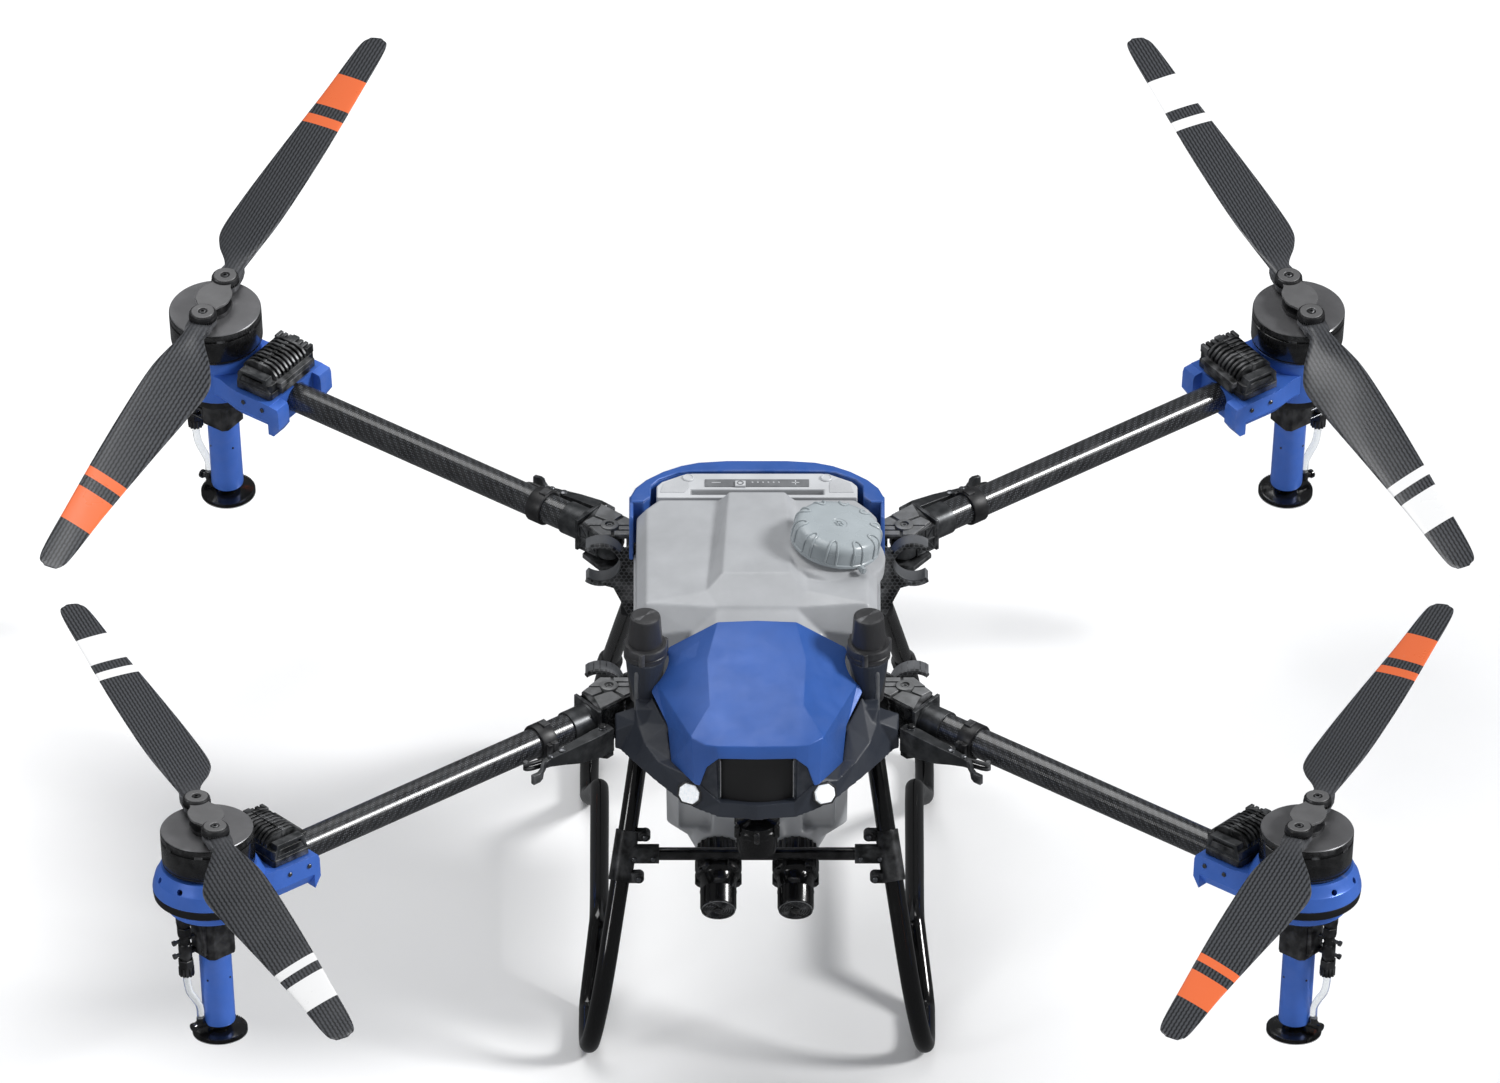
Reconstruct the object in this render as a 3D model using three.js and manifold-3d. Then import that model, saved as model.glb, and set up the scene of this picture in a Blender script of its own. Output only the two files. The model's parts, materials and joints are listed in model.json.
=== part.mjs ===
// Agricultural spray drone with four folding arms, in millimetres.
// +Z is up, the nose faces -Y, and the origin is on the ground under the middle of the four motors.
// Left and right are as seen by someone who stands in front of the nose.
import * as THREE from "three";
import { mergeVertices } from "three/addons/utils/BufferGeometryUtils.js";
import { ConvexGeometry } from "three/addons/geometries/ConvexGeometry.js";
import Module from "manifold-3d";

const wasm = await Module();
wasm.setup();

// Driving dimensions.
const ARM_HEIGHT = 460; // arm tube axis above the ground
const PIVOT = { x: 195, y: 188 }; // fold pivot, from the middle of the drone
const ARM_DIRECTION = THREE.MathUtils.degToRad(38.2); // plan angle between an arm and the X axis
const ARM_LENGTH = 673; // fold pivot to motor axis, along the arm
const ARM_OFFSET = 12; // the tube axis passes this far beside the pivot
const TUBE_RADIUS = 20;
const TUBE_WALL = 2;
const TUBE_START = 52; // fold pivot to the end of the tube's socket
const FOLD_TILT = { front: -8, rear: 8.5 }; // degrees that the fold axis leans, so that arms pass each other
const FOLD_ANGLE = 128; // degrees from open to folded
const MOTOR_CANT = THREE.MathUtils.degToRad(4.8); // each motor leans about its arm
const MOTOR_RADIUS = 62;
const BELL = { bottom: 40, top: 90 }; // heights above the arm axis
const BLADE_BOLT = 41; // rotor axis to blade bolt
const BLADE_LENGTH = 557; // blade bolt to blade tip
const BLADE_LEVEL = 103; // mid-height of a blade root above the arm axis
const BLADE_REST = { front: 69.8, rear: -107.2 }; // degrees from the arm to the first blade
const NOZZLE = { half: 22, boxBottom: -100, radius: 21, bottom: -203, neck: -209 }; // depths below the arm axis
const DISC_RADIUS = 36.5;
const GEAR = { radius: 12.5, foot: 223, lean: 0.18 }; // landing gear tube, its distance from the middle, its slope
const ANTENNA = { x: 147, y: -215 };
const CAMERA_Y = -390;
const GAP = 0.3; // clearance between pieces that touch

const COLOUR = {
  blue: 0x3f6fd0,
  carbon: 0x2b2d2f,
  black: 0x1b1c1e,
  plate: 0x8c8e8e,
  motor: 0x5a5a5b,
  tank: 0xb8babd,
  cap: 0xafb6ba,
  charcoal: 0x2f353e,
  battery: 0xcdcfd2,
  blade: 0x33353a,
};

const ARMS = [
  { name: "front_left", side: -1, end: -1 },
  { name: "front_right", side: 1, end: -1 },
  { name: "rear_left", side: -1, end: 1 },
  { name: "rear_right", side: 1, end: 1 },
];

// Fixed sections of the arm, as distances from the fold pivot or from the arm's axis.
const KNUCKLE = { height: 38, core: 17, reach: 43, inner: -14, outer: 32 };
const FLANGE = { start: 41.5, end: 46.5, inner: -16, outer: 38, bottom: -22, top: 25 };
const COLLAR = { start: 46, end: 80, wall: 2.4 };
const RING = { start: 114, end: 134, wall: 3.5 };
const BRACKET = { bottom: -36, ear: -28.5, top: 27 };
const LATCH = { x: 50, y: 50, pin: 4, pinTop: 11, top: 8 };
const MOUNT = { inner: -132, outer: -30, half: 57, seat: 58, seatTop: 38, bottom: -26, top: 22 };

// Fixed sizes of the centre body.
const RAIL = { inner: 126, outer: 158, bottom: 395, top: 426 };
const CLIP = { x: 207, inner: 26, outer: 32, mouth: 27, near: 56, far: 78, plate: 4 };
const TANK = { upper: 162, lower: 121, bottom: 265, step: 427, top: 565, rear: 136, shoulder: -104, front: -228 };
const CAP = { x: 103, y: 14, z: 577.5, radius: 60.5, height: 33, ribs: 10 };
const CAP_TILT = THREE.MathUtils.degToRad(10); // the filler neck leans outwards
const BATTERY = { width: 133, front: 147, rear: 204, bottom: 427, top: 560 };
const BUTTON = { x: -22, radius: 6, well: 7 };
const CROSS = { radius: 8, y: -274, z: 278, end: 150, clamp: 129 };
const PUMP = { x: 51, y: -236, z: 258, slope: 24 }; // the slope is in degrees below level

// Closed geometry to solid and back.
function toSolid(geometry) {
  const bare = geometry.index ? geometry.toNonIndexed() : geometry.clone();
  bare.deleteAttribute("normal");
  bare.deleteAttribute("uv");
  const merged = mergeVertices(bare, 1e-4);
  return new wasm.Manifold(new wasm.Mesh({
    numProp: 3,
    vertProperties: new Float32Array(merged.attributes.position.array),
    triVerts: new Uint32Array(merged.index.array),
  }));
}

function toGeometry(solid) {
  const mesh = solid.getMesh();
  const geometry = new THREE.BufferGeometry();
  geometry.setAttribute("position", new THREE.BufferAttribute(mesh.vertProperties, 3));
  geometry.setIndex(new THREE.BufferAttribute(mesh.triVerts, 1));
  return geometry;
}

function join(...geometries) {
  return toGeometry(geometries.map(toSolid).reduce((whole, next) => whole.add(next)));
}

function cut(geometry, ...tools) {
  return toGeometry(tools.map(toSolid).reduce((whole, tool) => whole.subtract(tool), toSolid(geometry)));
}

function finish(geometry) {
  const flat = geometry.index ? geometry.toNonIndexed() : geometry;
  flat.computeVertexNormals();
  return flat;
}

function makeMesh(name, geometry, colour, roughness = 0.5, metalness = 0) {
  const mesh = new THREE.Mesh(
    finish(geometry),
    new THREE.MeshStandardMaterial({ color: colour, roughness, metalness }),
  );
  mesh.name = name;
  return mesh;
}

// Basic solids, each given by its low and high corner or its ends.
function block(low, high) {
  const size = low.map((value, k) => high[k] - value);
  const middle = low.map((value, k) => (high[k] + value) / 2);
  return new THREE.BoxGeometry(...size).translate(...middle);
}

function rod(radius, bottom, top, { x = 0, y = 0, segments = 20, topRadius = radius } = {}) {
  return new THREE.CylinderGeometry(topRadius, radius, top - bottom, segments)
    .rotateX(Math.PI / 2)
    .translate(x, y, (top + bottom) / 2);
}

function rodAlongX(radius, start, end, { y = 0, z = 0, segments = 16 } = {}) {
  return new THREE.CylinderGeometry(radius, radius, end - start, segments)
    .rotateZ(Math.PI / 2)
    .translate((start + end) / 2, y, z);
}

function prism(points, bottom, top) {
  const shape = new THREE.Shape(points.map(([x, y]) => new THREE.Vector2(x, y)));
  return new THREE.ExtrudeGeometry(shape, { depth: top - bottom, bevelEnabled: false }).translate(0, 0, bottom);
}

function hull(points) {
  return new ConvexGeometry(points.map((p) => new THREE.Vector3(...p)));
}

function bentTube(points, radius, steps, segments) {
  const curve = new THREE.CatmullRomCurve3(points.map((p) => new THREE.Vector3(...p)), false, "centripetal");
  const circle = new THREE.Shape();
  for (let k = 0; k < segments; k += 1) {
    const angle = (2 * Math.PI * k) / segments;
    const point = [radius * Math.cos(angle), radius * Math.sin(angle)];
    if (k === 0) circle.moveTo(...point);
    else circle.lineTo(...point);
  }
  return new THREE.ExtrudeGeometry(circle, { steps, bevelEnabled: false, extrudePath: curve });
}

// Two numbers, lowest first.
function ordered(a, b) {
  return [Math.min(a, b), Math.max(a, b)];
}

// Both signs of x for a list of points.
function mirrored(points) {
  return points.flatMap(([x, y, z]) => [[x, y, z], [-x, y, z]]);
}

// Joint frame. hand is +1 where the tube lies to the left of the line from pivot to motor.
function armFrame(arm) {
  const angle = Math.atan2(arm.end * Math.sin(ARM_DIRECTION), arm.side * Math.cos(ARM_DIRECTION));
  const front = arm.end < 0;
  return { ...arm, angle, front, hand: arm.side * arm.end };
}

// The fold axis in the arm's own frame: upright, leaning towards the line from folded to open.
function foldAxis({ front, hand }) {
  const lean = Math.tan(THREE.MathUtils.degToRad(front ? FOLD_TILT.front : FOLD_TILT.rear));
  const folded = THREE.MathUtils.degToRad(-hand * FOLD_ANGLE);
  const towards = new THREE.Vector3(1 - Math.cos(folded), -Math.sin(folded), 0).normalize();
  return new THREE.Vector3(lean * towards.x, lean * towards.y, 1).normalize();
}

// A slab square to the fold axis, which both halves of the fold joint share as their gap.
function foldSlab(frame, thickness, size) {
  const turn = new THREE.Quaternion().setFromUnitVectors(new THREE.Vector3(0, 0, 1), foldAxis(frame));
  return block([-size, -size, -thickness / 2], [size, size, thickness / 2]).applyQuaternion(turn);
}

function foldBracket(frame) {
  const { side, end, angle, hand } = frame;
  const outline = [[161.2, 166], [208, 166], [231.5, 198], [205, 240], [161.2, 201.5]];
  const plan = outline.map(([x, y]) => [side * (x - PIVOT.x), end * (y - PIVOT.y)]);
  const plates = prism(plan, BRACKET.bottom, BRACKET.top).rotateZ(-angle);
  const [webLow, webHigh] = ordered(side * (174 - PIVOT.x), side * (120 - PIVOT.x));
  const web = block([webLow, -90, -60], [webHigh, 90, 60]).rotateZ(-angle);
  const slot = toSolid(foldSlab(frame, KNUCKLE.height + 2, 90)).subtract(toSolid(web));
  const latch = { x: LATCH.x, y: hand * LATCH.y };
  const ear = rod(9, BRACKET.bottom, BRACKET.ear, { ...latch, segments: 16 });
  const [low, high] = ordered(hand * 22, hand * 46);
  const arm = block([26, low, BRACKET.bottom], [55, high, BRACKET.ear]);
  const pin = rod(LATCH.pin, BRACKET.ear - 1, LATCH.pinTop, { ...latch, segments: 12 });
  const bolt = rod(10, BRACKET.top - 1, BRACKET.top + 4, { segments: 16 });
  const body = toSolid(plates).subtract(slot);
  return toGeometry([ear, arm, pin, bolt].map(toSolid).reduce((whole, next) => whole.add(next), body));
}

function armKnuckle(frame) {
  const { hand } = frame;
  const [inner, outer] = ordered(hand * KNUCKLE.inner, hand * KNUCKLE.outer);
  const [flangeLow, flangeHigh] = ordered(hand * FLANGE.inner, hand * FLANGE.outer);
  const core = join(
    rod(KNUCKLE.core, -KNUCKLE.height, KNUCKLE.height),
    block([0, inner, -KNUCKLE.height], [KNUCKLE.reach, outer, KNUCKLE.height]),
  );
  const trimmed = toGeometry(toSolid(core).intersect(toSolid(foldSlab(frame, KNUCKLE.height, 90))));
  const flange = block([FLANGE.start, flangeLow, FLANGE.bottom], [FLANGE.end, flangeHigh, FLANGE.top]);
  const y = hand * ARM_OFFSET;
  const collar = rodAlongX(TUBE_RADIUS + COLLAR.wall, COLLAR.start, COLLAR.end, { y });
  const socket = rodAlongX(TUBE_RADIUS + GAP, TUBE_START, COLLAR.end + 10, { y });
  return cut(join(trimmed, flange, collar), socket);
}

function armTube({ hand }) {
  const y = hand * ARM_OFFSET;
  const start = TUBE_START + GAP;
  const end = ARM_LENGTH - 40;
  const ring = rodAlongX(TUBE_RADIUS + RING.wall, RING.start, RING.end, { y });
  const [lugLow, lugHigh] = ordered(y + hand * TUBE_RADIUS, y + hand * (TUBE_RADIUS + 9));
  const lug = block([RING.start + 3, lugLow, -8], [RING.end - 3, lugHigh, 8]);
  const bore = rodAlongX(TUBE_RADIUS - TUBE_WALL, start - 5, end + 5, { y });
  return cut(join(rodAlongX(TUBE_RADIUS, start, end, { y }), ring, lug), bore);
}

function latchLever({ hand }) {
  const plan = [
    [38, 46], [52, 45], [120, 47], [152, 44], [166, 43], [166, 48], [150, 51],
    [148, 57], [168, 66], [168, 73], [142, 63], [120, 58], [60, 61], [44, 60], [37, 53],
  ].map(([x, y]) => [x, hand * y]);
  const hole = rod(LATCH.pin + GAP, -40, 20, { x: LATCH.x, y: hand * LATCH.y, segments: 12 });
  return cut(prism(plan, BRACKET.ear + GAP, LATCH.top), hole);
}

function motorMount({ front }) {
  const { inner, outer, half, bottom, top } = MOUNT;
  const housing = hull([
    [inner, -half, bottom + 2], [inner, half, bottom + 2], [inner, -half, top - 2], [inner, half, top - 2],
    [outer, 1 - half, bottom], [outer, half - 1, bottom], [outer, 1 - half, top], [outer, half - 1, top],
  ]);
  const seat = rod(MOUNT.seat, bottom, MOUNT.seatTop);
  const bore = rodAlongX(TUBE_RADIUS + GAP, inner - 8, -36);
  const pieces = [housing, seat];
  if (front) pieces.push(rod(76, 4, 34, { topRadius: 65 }), rod(74, -8, 5));
  return cut(join(...pieces), bore);
}

function speedController() {
  const pieces = [block([-128, -49, MOUNT.top + GAP], [-70, 49, 44])];
  for (let k = 0; k < 8; k += 1) {
    const y = -42 + k * 12;
    pieces.push(block([-124, y - 3, 43], [-74, y + 3, 60]));
  }
  return join(...pieces);
}

function hubPlate(bottom, top) {
  return [
    block([-BLADE_BOLT, -14, bottom], [BLADE_BOLT, 14, top]),
    rod(23, bottom, top, { segments: 12 }),
    rod(17, bottom, top, { x: BLADE_BOLT, segments: 12 }),
    rod(17, bottom, top, { x: -BLADE_BOLT, segments: 12 }),
  ];
}

function rotor() {
  const pieces = [
    rod(MOTOR_RADIUS, BELL.bottom, BELL.top, { segments: 24 }),
    ...hubPlate(BELL.top - 1, BLADE_LEVEL - 6),
    ...hubPlate(BLADE_LEVEL + 6, BLADE_LEVEL + 10),
    rod(10, BELL.top, BLADE_LEVEL + 7, { segments: 8 }),
  ];
  for (const x of [-BLADE_BOLT, BLADE_BOLT]) {
    pieces.push(rod(6, BELL.top, BLADE_LEVEL + 7, { x, segments: 8 }));
    pieces.push(rod(13, BLADE_LEVEL + 9, BLADE_LEVEL + 13, { x, segments: 12 }));
  }
  return join(...pieces);
}

// Distance from bolt, leading half-chord, trailing half-chord, half-thickness and pitch in degrees.
const BLADE_STATIONS = [
  [9, 12, 12, 4.8, 0],
  [42, 14, 18, 4.8, 6],
  [85, 21, 44, 4, 14],
  [125, 26, 58, 3.6, 16],
  [190, 28, 54, 3, 14],
  [300, 28, 42, 2.5, 11],
  [430, 25, 28, 2, 9],
  [535, 21, 19, 1.5, 7],
  [BLADE_LENGTH, 8, 10, 1.2, 7],
];

function bladeSection([, lead, trail, half, pitch]) {
  const outline = [
    [lead, 0], [lead * 0.6, half], [-trail * 0.4, half],
    [-trail, 0], [-trail * 0.4, -half], [lead * 0.6, -half],
  ];
  const turn = THREE.MathUtils.degToRad(pitch);
  return outline.map(([y, z]) => [
    y * Math.cos(turn) - z * Math.sin(turn),
    y * Math.sin(turn) + z * Math.cos(turn),
  ]);
}

// Skin over sections that all have the same number of points, with flat ends.
function loft(sections) {
  const count = sections[0].length;
  const points = sections.flat();
  const faces = [];
  for (let s = 0; s + 1 < sections.length; s += 1) {
    for (let k = 0; k < count; k += 1) {
      const a = s * count + k;
      const b = s * count + ((k + 1) % count);
      faces.push(a, b, a + count, b, b + count, a + count);
    }
  }
  const last = (sections.length - 1) * count;
  for (let k = 1; k + 1 < count; k += 1) {
    faces.push(0, k + 1, k);
    faces.push(last, last + k, last + k + 1);
  }
  const geometry = new THREE.BufferGeometry();
  geometry.setAttribute("position", new THREE.Float32BufferAttribute(points.flat(), 3));
  geometry.setIndex(faces);
  return geometry;
}

function blade({ hand }) {
  const sections = BLADE_STATIONS.map((station) => {
    const outline = bladeSection(station).map(([y, z]) => [station[0], hand * y, z]);
    return hand > 0 ? outline : outline.reverse();
  });
  const eye = rod(15, -5, 5, { segments: 16 });
  const hole = rod(7, -10, 10, { segments: 8 });
  return cut(join(eye, loft(sections)), hole);
}

function nozzleBody() {
  const { half, boxBottom, radius, bottom, neck } = NOZZLE;
  return join(
    block([-half, -half, boxBottom], [half, half, MOUNT.bottom - GAP]),
    rod(radius, bottom, boxBottom + 1, { segments: 16 }),
    rod(13, neck, bottom + 1, { segments: 12 }),
  );
}

function sprayDisc() {
  return join(
    rod(DISC_RADIUS, -219, -213, { segments: 24 }),
    rod(DISC_RADIUS - 4, -222, -218, { segments: 24 }),
    rod(14, -214, -209.5, { segments: 12 }),
  );
}

// One arm, with every piece in the frame of its fold pivot: +X runs out along the arm.
function armGroup(arm) {
  const frame = armFrame(arm);
  const { name, side, end, angle, hand, front } = frame;
  const group = new THREE.Group();
  group.position.set(side * PIVOT.x, end * PIVOT.y, ARM_HEIGHT);
  group.rotation.z = angle;
  group.add(
    makeMesh(`fold_bracket_${name}`, foldBracket(frame), COLOUR.plate, 0.45, 0.8),
    makeMesh(`arm_knuckle_${name}`, armKnuckle(frame), COLOUR.black, 0.5, 0.3),
    makeMesh(`arm_tube_${name}`, armTube(frame), COLOUR.carbon, 0.3),
    makeMesh(`latch_lever_${name}`, latchLever(frame), COLOUR.black, 0.45),
  );
  const motor = new THREE.Group();
  motor.position.set(ARM_LENGTH, hand * ARM_OFFSET, 0);
  motor.rotation.x = hand * MOTOR_CANT;
  motor.add(
    makeMesh(`motor_mount_${name}`, motorMount(frame), COLOUR.blue, 0.4, 0.4),
    makeMesh(`speed_controller_${name}`, speedController(), COLOUR.black, 0.5),
    makeMesh(`nozzle_body_${name}`, nozzleBody(), COLOUR.blue, 0.35, 0.4),
    makeMesh(`spray_disc_${name}`, sprayDisc(), COLOUR.black, 0.4),
  );
  const spin = new THREE.Group();
  const rest = THREE.MathUtils.degToRad(front ? BLADE_REST.front : BLADE_REST.rear);
  spin.rotation.z = hand * rest;
  spin.add(makeMesh(`rotor_${name}`, rotor(), COLOUR.motor, 0.35, 0.7));
  for (const [letter, turn] of [["a", 0], ["b", Math.PI]]) {
    const hinge = new THREE.Group();
    hinge.position.set(BLADE_BOLT * Math.cos(turn), 0, BLADE_LEVEL);
    hinge.rotation.z = turn;
    hinge.add(makeMesh(`blade_${letter}_${name}`, blade(frame), COLOUR.blade, 0.35));
    spin.add(hinge);
  }
  motor.add(spin);
  group.add(motor);
  return group;
}

// Height of a folded arm's axis at a given distance from its pivot.
function foldedHeight(front, distance) {
  const lean = Math.tan(THREE.MathUtils.degToRad(front ? FOLD_TILT.front : FOLD_TILT.rear));
  const rise = 2 * Math.sin(THREE.MathUtils.degToRad(FOLD_ANGLE / 2)) * lean;
  return ARM_HEIGHT + distance * rise;
}

// A clip beside the tank, open outwards, that holds its own arm's collar when the arm is folded.
function armClip(side, end) {
  const front = end < 0;
  const distance = (CLIP.near + CLIP.far) / 2;
  const z = foldedHeight(front, distance);
  const y = end * (PIVOT.y - distance);
  const half = (CLIP.far - CLIP.near) / 2;
  const ringAt = (radius, reach) => rod(radius, -reach, reach, { segments: 24 })
    .rotateX(Math.PI / 2)
    .translate(side * CLIP.x, y, z);
  const [mouthLow, mouthHigh] = ordered(side * CLIP.x, side * (CLIP.x + 60));
  const mouth = block([mouthLow, y - 40, z - CLIP.mouth], [mouthHigh, y + 40, z + CLIP.mouth]);
  const [webLow, webHigh] = ordered(side * (RAIL.outer - 8), side * (CLIP.x - CLIP.inner - 1));
  const web = block([webLow, y - half, RAIL.bottom], [webHigh, y - half + CLIP.plate, z + 20]);
  return cut(join(ringAt(CLIP.outer, half), web), ringAt(CLIP.inner, half + 5), mouth, tankRecess(side, y));
}

// Room for the wide upper part of the tank inside a clip's web.
function tankRecess(side, y) {
  const x = side * (TANK.upper + 1.5);
  const [left, right] = side < 0 ? [x, 0] : [0, x];
  return block([left, y - 40, TANK.step - 1.5], [right, y + 40, TANK.top]);
}

function mainFrame() {
  const pieces = [];
  for (const side of [-1, 1]) {
    const [railLow, railHigh] = ordered(side * RAIL.inner, side * RAIL.outer);
    pieces.push(block([railLow, -155, RAIL.bottom], [railHigh, 155, RAIL.top]));
    const [frontLow, frontHigh] = ordered(side * RAIL.inner, side * 160.8);
    pieces.push(block([frontLow, -262, 418], [frontHigh, -150, 480]));
    pieces.push(rod(13, 479, 488 - GAP, { x: side * ANTENNA.x, y: ANTENNA.y, segments: 16 }));
    const [rearLow, rearHigh] = ordered(side * 137, side * 160.8);
    pieces.push(block([rearLow, 150, 418], [rearHigh, 226, 484]));
    pieces.push(armClip(side, -1), armClip(side, 1));
  }
  pieces.push(block([-150, 208, 418], [150, 226, 470]));
  pieces.push(block([-150, -262, 418], [150, -250, 440]));
  pieces.push(block([-150, 140, 418], [150, 215, RAIL.top]));
  return join(...pieces);
}

function tank() {
  const { upper, lower, bottom, step, top, rear, shoulder, front } = TANK;
  const wide = hull(mirrored([
    [upper, rear - 24, step], [upper - 24, rear, step], [upper, shoulder - 20, step],
    [upper - 14, shoulder - 24, step],
    [upper, rear - 24, top - 18], [upper - 24, rear, top - 18], [upper, shoulder - 4, top - 18],
    [upper - 18, rear - 34, top], [upper - 34, rear - 16, top], [upper - 18, shoulder, top],
    [upper - 14, shoulder - 24, top - 50],
  ]));
  const nose = hull(mirrored([
    [lower - 4, shoulder, step - 3], [lower - 4, shoulder, top - 12],
    [lower - 12, -168, top - 44], [lower - 20, front + 4, 470], [lower - 20, front + 4, step - 3],
  ]));
  const sump = hull(mirrored([
    [lower, rear - 30, step + 2], [lower, front + 16, step + 2], [lower - 16, front, step + 2],
    [lower - 6, rear - 30, bottom + 24], [lower - 26, rear - 50, bottom],
    [lower - 8, front + 16, bottom + 20], [lower - 24, front, bottom + 20], [lower - 30, front + 24, bottom],
  ]));
  const hump = hull(mirrored([
    [40, rear - 30, top - 2], [50, shoulder + 6, top - 2], [34, rear - 40, top + 14], [42, shoulder + 50, top + 14],
  ]));
  const neck = onNeck(rod(50, -26, -GAP, { segments: 32 }));
  return join(wide, nose, sump, hump, neck);
}

// Moves a shape drawn upright at the origin onto the filler neck.
function onNeck(geometry) {
  return geometry.rotateY(CAP_TILT).translate(CAP.x, CAP.y, CAP.z);
}

function tankCap() {
  const { radius, height } = CAP;
  const pieces = [
    rod(radius, 0, height - 6, { segments: 30 }),
    rod(radius - 1, height - 7, height, { topRadius: radius - 7, segments: 30 }),
  ];
  for (let k = 0; k < CAP.ribs; k += 1) {
    const angle = (2 * Math.PI * k) / CAP.ribs;
    const x = (radius - 1) * Math.cos(angle);
    const y = (radius - 1) * Math.sin(angle);
    pieces.push(rod(5, 0, height - 6, { x, y, segments: 6 }));
  }
  return onNeck(join(...pieces));
}

function battery() {
  const { width, front, rear, bottom, top } = BATTERY;
  const middle = (front + rear) / 2;
  const body = block([-width, front, bottom], [width, rear, top]);
  const bar = block([-69, front + 14, top - 1], [69, rear - 14, top + 3]);
  const well = rod(BUTTON.well, top - 3, top + 10, { x: BUTTON.x, y: middle, segments: 16 });
  const bosses = [-91, 92].map((x) => rod(13, top - 1, top + 4, { x, y: middle, segments: 20 }));
  return cut(join(body, bar, ...bosses), well);
}

function powerButton() {
  const middle = (BATTERY.front + BATTERY.rear) / 2;
  return rod(BUTTON.radius, BATTERY.top - 0.4, BATTERY.top + 4.5, { x: BUTTON.x, y: middle, segments: 16 });
}

function rearCover() {
  const outer = [
    [-169, 138], [-169, 200], [-134, 235], [134, 235], [169, 200], [169, 138],
    [140, 138], [140, 209], [-140, 209], [-140, 138],
  ];
  return prism(outer, 492, 560);
}

// Shell points of the nose hood, right-hand half.
const HOOD = [
  [50, -188, 590], [115, -200, 562], [139, -250, 522], [74, -400, 536],
  [76, -405, 472], [139, -262, 484], [128, -196, 500],
];

function noseHood() {
  const centre = new THREE.Vector3(0, -285, 505);
  const shrink = (p, by) => new THREE.Vector3(...p).sub(centre).multiplyScalar(by).add(centre).toArray();
  const inner = mirrored(HOOD).map((p) => shrink(p, 0.95));
  const lowered = inner.map(([x, y, z]) => [x, y, z - 70]);
  const openRear = inner.map(([x, y, z]) => [x, y + 40, z]);
  const window = block([-56, -430, 400], [56, -370, 521]);
  const recesses = [-1, 1].map((side) => rod(31, 460, 640, { x: side * ANTENNA.x, y: ANTENNA.y, segments: 24 }));
  return cut(hull(mirrored(HOOD)), hull([...inner, ...lowered, ...openRear]), window, ...recesses);
}

function noseBumper() {
  const outer = [[184, -240], [182, -262], [156, -312], [101, -387], [52, -413]];
  const inner = [[177, -240], [175, -260], [150, -308], [96, -380], [50, -406]];
  const flip = (points) => points.map(([x, y]) => [-x, y]).reverse();
  const plan = [...outer, ...flip(outer), ...inner.map(([x, y]) => [-x, y]), ...inner.slice().reverse()];
  const band = prism(plan, 430, 470);
  const edge = [[150, -309], [96, -381], [50, -407]];
  const shelf = prism([...edge, ...flip(edge)], 430, 436);
  const lamps = [-87, 87].map((x) => block([x - 13, -399, 434], [x + 13, -378, 458]));
  return join(band, shelf, ...lamps);
}

function frontCamera() {
  return join(
    rod(29, 372, 412, { y: CAMERA_Y }),
    rod(20, 411, 430 - GAP, { y: CAMERA_Y }),
    rod(24, 366, 373, { y: CAMERA_Y }),
  );
}

function antenna(side) {
  const at = { x: side * ANTENNA.x, y: ANTENNA.y };
  return join(
    rod(23, 574, 619, { ...at, topRadius: 20 }),
    rod(29.5, 552, 575, at),
    rod(23, 488, 553, { ...at, topRadius: 27 }),
  );
}

// One side of the landing gear is a single bent tube in a leaning plane.
const GEAR_PATH = [
  [-184, 408], [-250, 316], [-318, 202], [-346, 152], [-361, 107],
  [-362, 60], [-348, 26], [-322, 13], [-266, 12.5], [-236, 19], [-168, 76], [-136, 90], [0, 91],
];

function gearX(side, z) {
  return side * (GEAR.foot - GEAR.lean * (z - GEAR.radius));
}

function gearPoints(side) {
  const half = GEAR_PATH.map(([y, z]) => [gearX(side, z), y, z]);
  const other = half.slice(0, -1).reverse().map(([x, y, z]) => [x, -y, z]);
  return [...half, ...other];
}

// A sleeve round a leg between two points of it, given as [y, z].
function legSleeve(side, end, from, to, radius) {
  const a = new THREE.Vector3(gearX(side, from[1]), end * from[0], from[1]);
  const b = new THREE.Vector3(gearX(side, to[1]), end * to[0], to[1]);
  const along = b.clone().sub(a);
  const turn = new THREE.Quaternion().setFromUnitVectors(new THREE.Vector3(0, 1, 0), along.clone().normalize());
  const middle = a.add(b).multiplyScalar(0.5);
  return new THREE.CylinderGeometry(radius, radius, along.length(), 16)
    .applyQuaternion(turn)
    .translate(middle.x, middle.y, middle.z);
}

function landingGear(side) {
  const tube = bentTube(gearPoints(side), GEAR.radius, 48, 8);
  const sleeve = legSleeve(side, -1, [257, 304], [292, 247], 15.5);
  const ring = legSleeve(side, 1, [336, 170], [347, 152], 16.5);
  const at = { y: CROSS.y, z: CROSS.z };
  const socket = rodAlongX(13, ...ordered(side * CROSS.clamp, side * 168), at);
  const bore = rodAlongX(CROSS.radius + GAP, ...ordered(side * 100, side * CROSS.end), at);
  const pads = [-1, 1].map((end) => {
    const [low, high] = ordered(end * 272, end * 312);
    return block([side * GEAR.foot - 7, low, 0], [side * GEAR.foot + 7, high, 6]);
  });
  return cut(join(tube, sleeve, ring, socket, ...pads), bore);
}

function crossTube() {
  const reach = CROSS.end - GAP;
  return rodAlongX(CROSS.radius, -reach, reach, { y: CROSS.y, z: CROSS.z });
}

function pump(side) {
  const body = join(
    rod(31, GAP, 8),
    rod(25, 7, 30),
    rod(20, 29, 44),
    rod(24, 43, 90),
    rod(21, 89, 95),
  );
  const slope = THREE.MathUtils.degToRad(PUMP.slope);
  return body.rotateX(Math.PI / 2 + slope).translate(side * PUMP.x, PUMP.y, PUMP.z);
}

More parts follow.
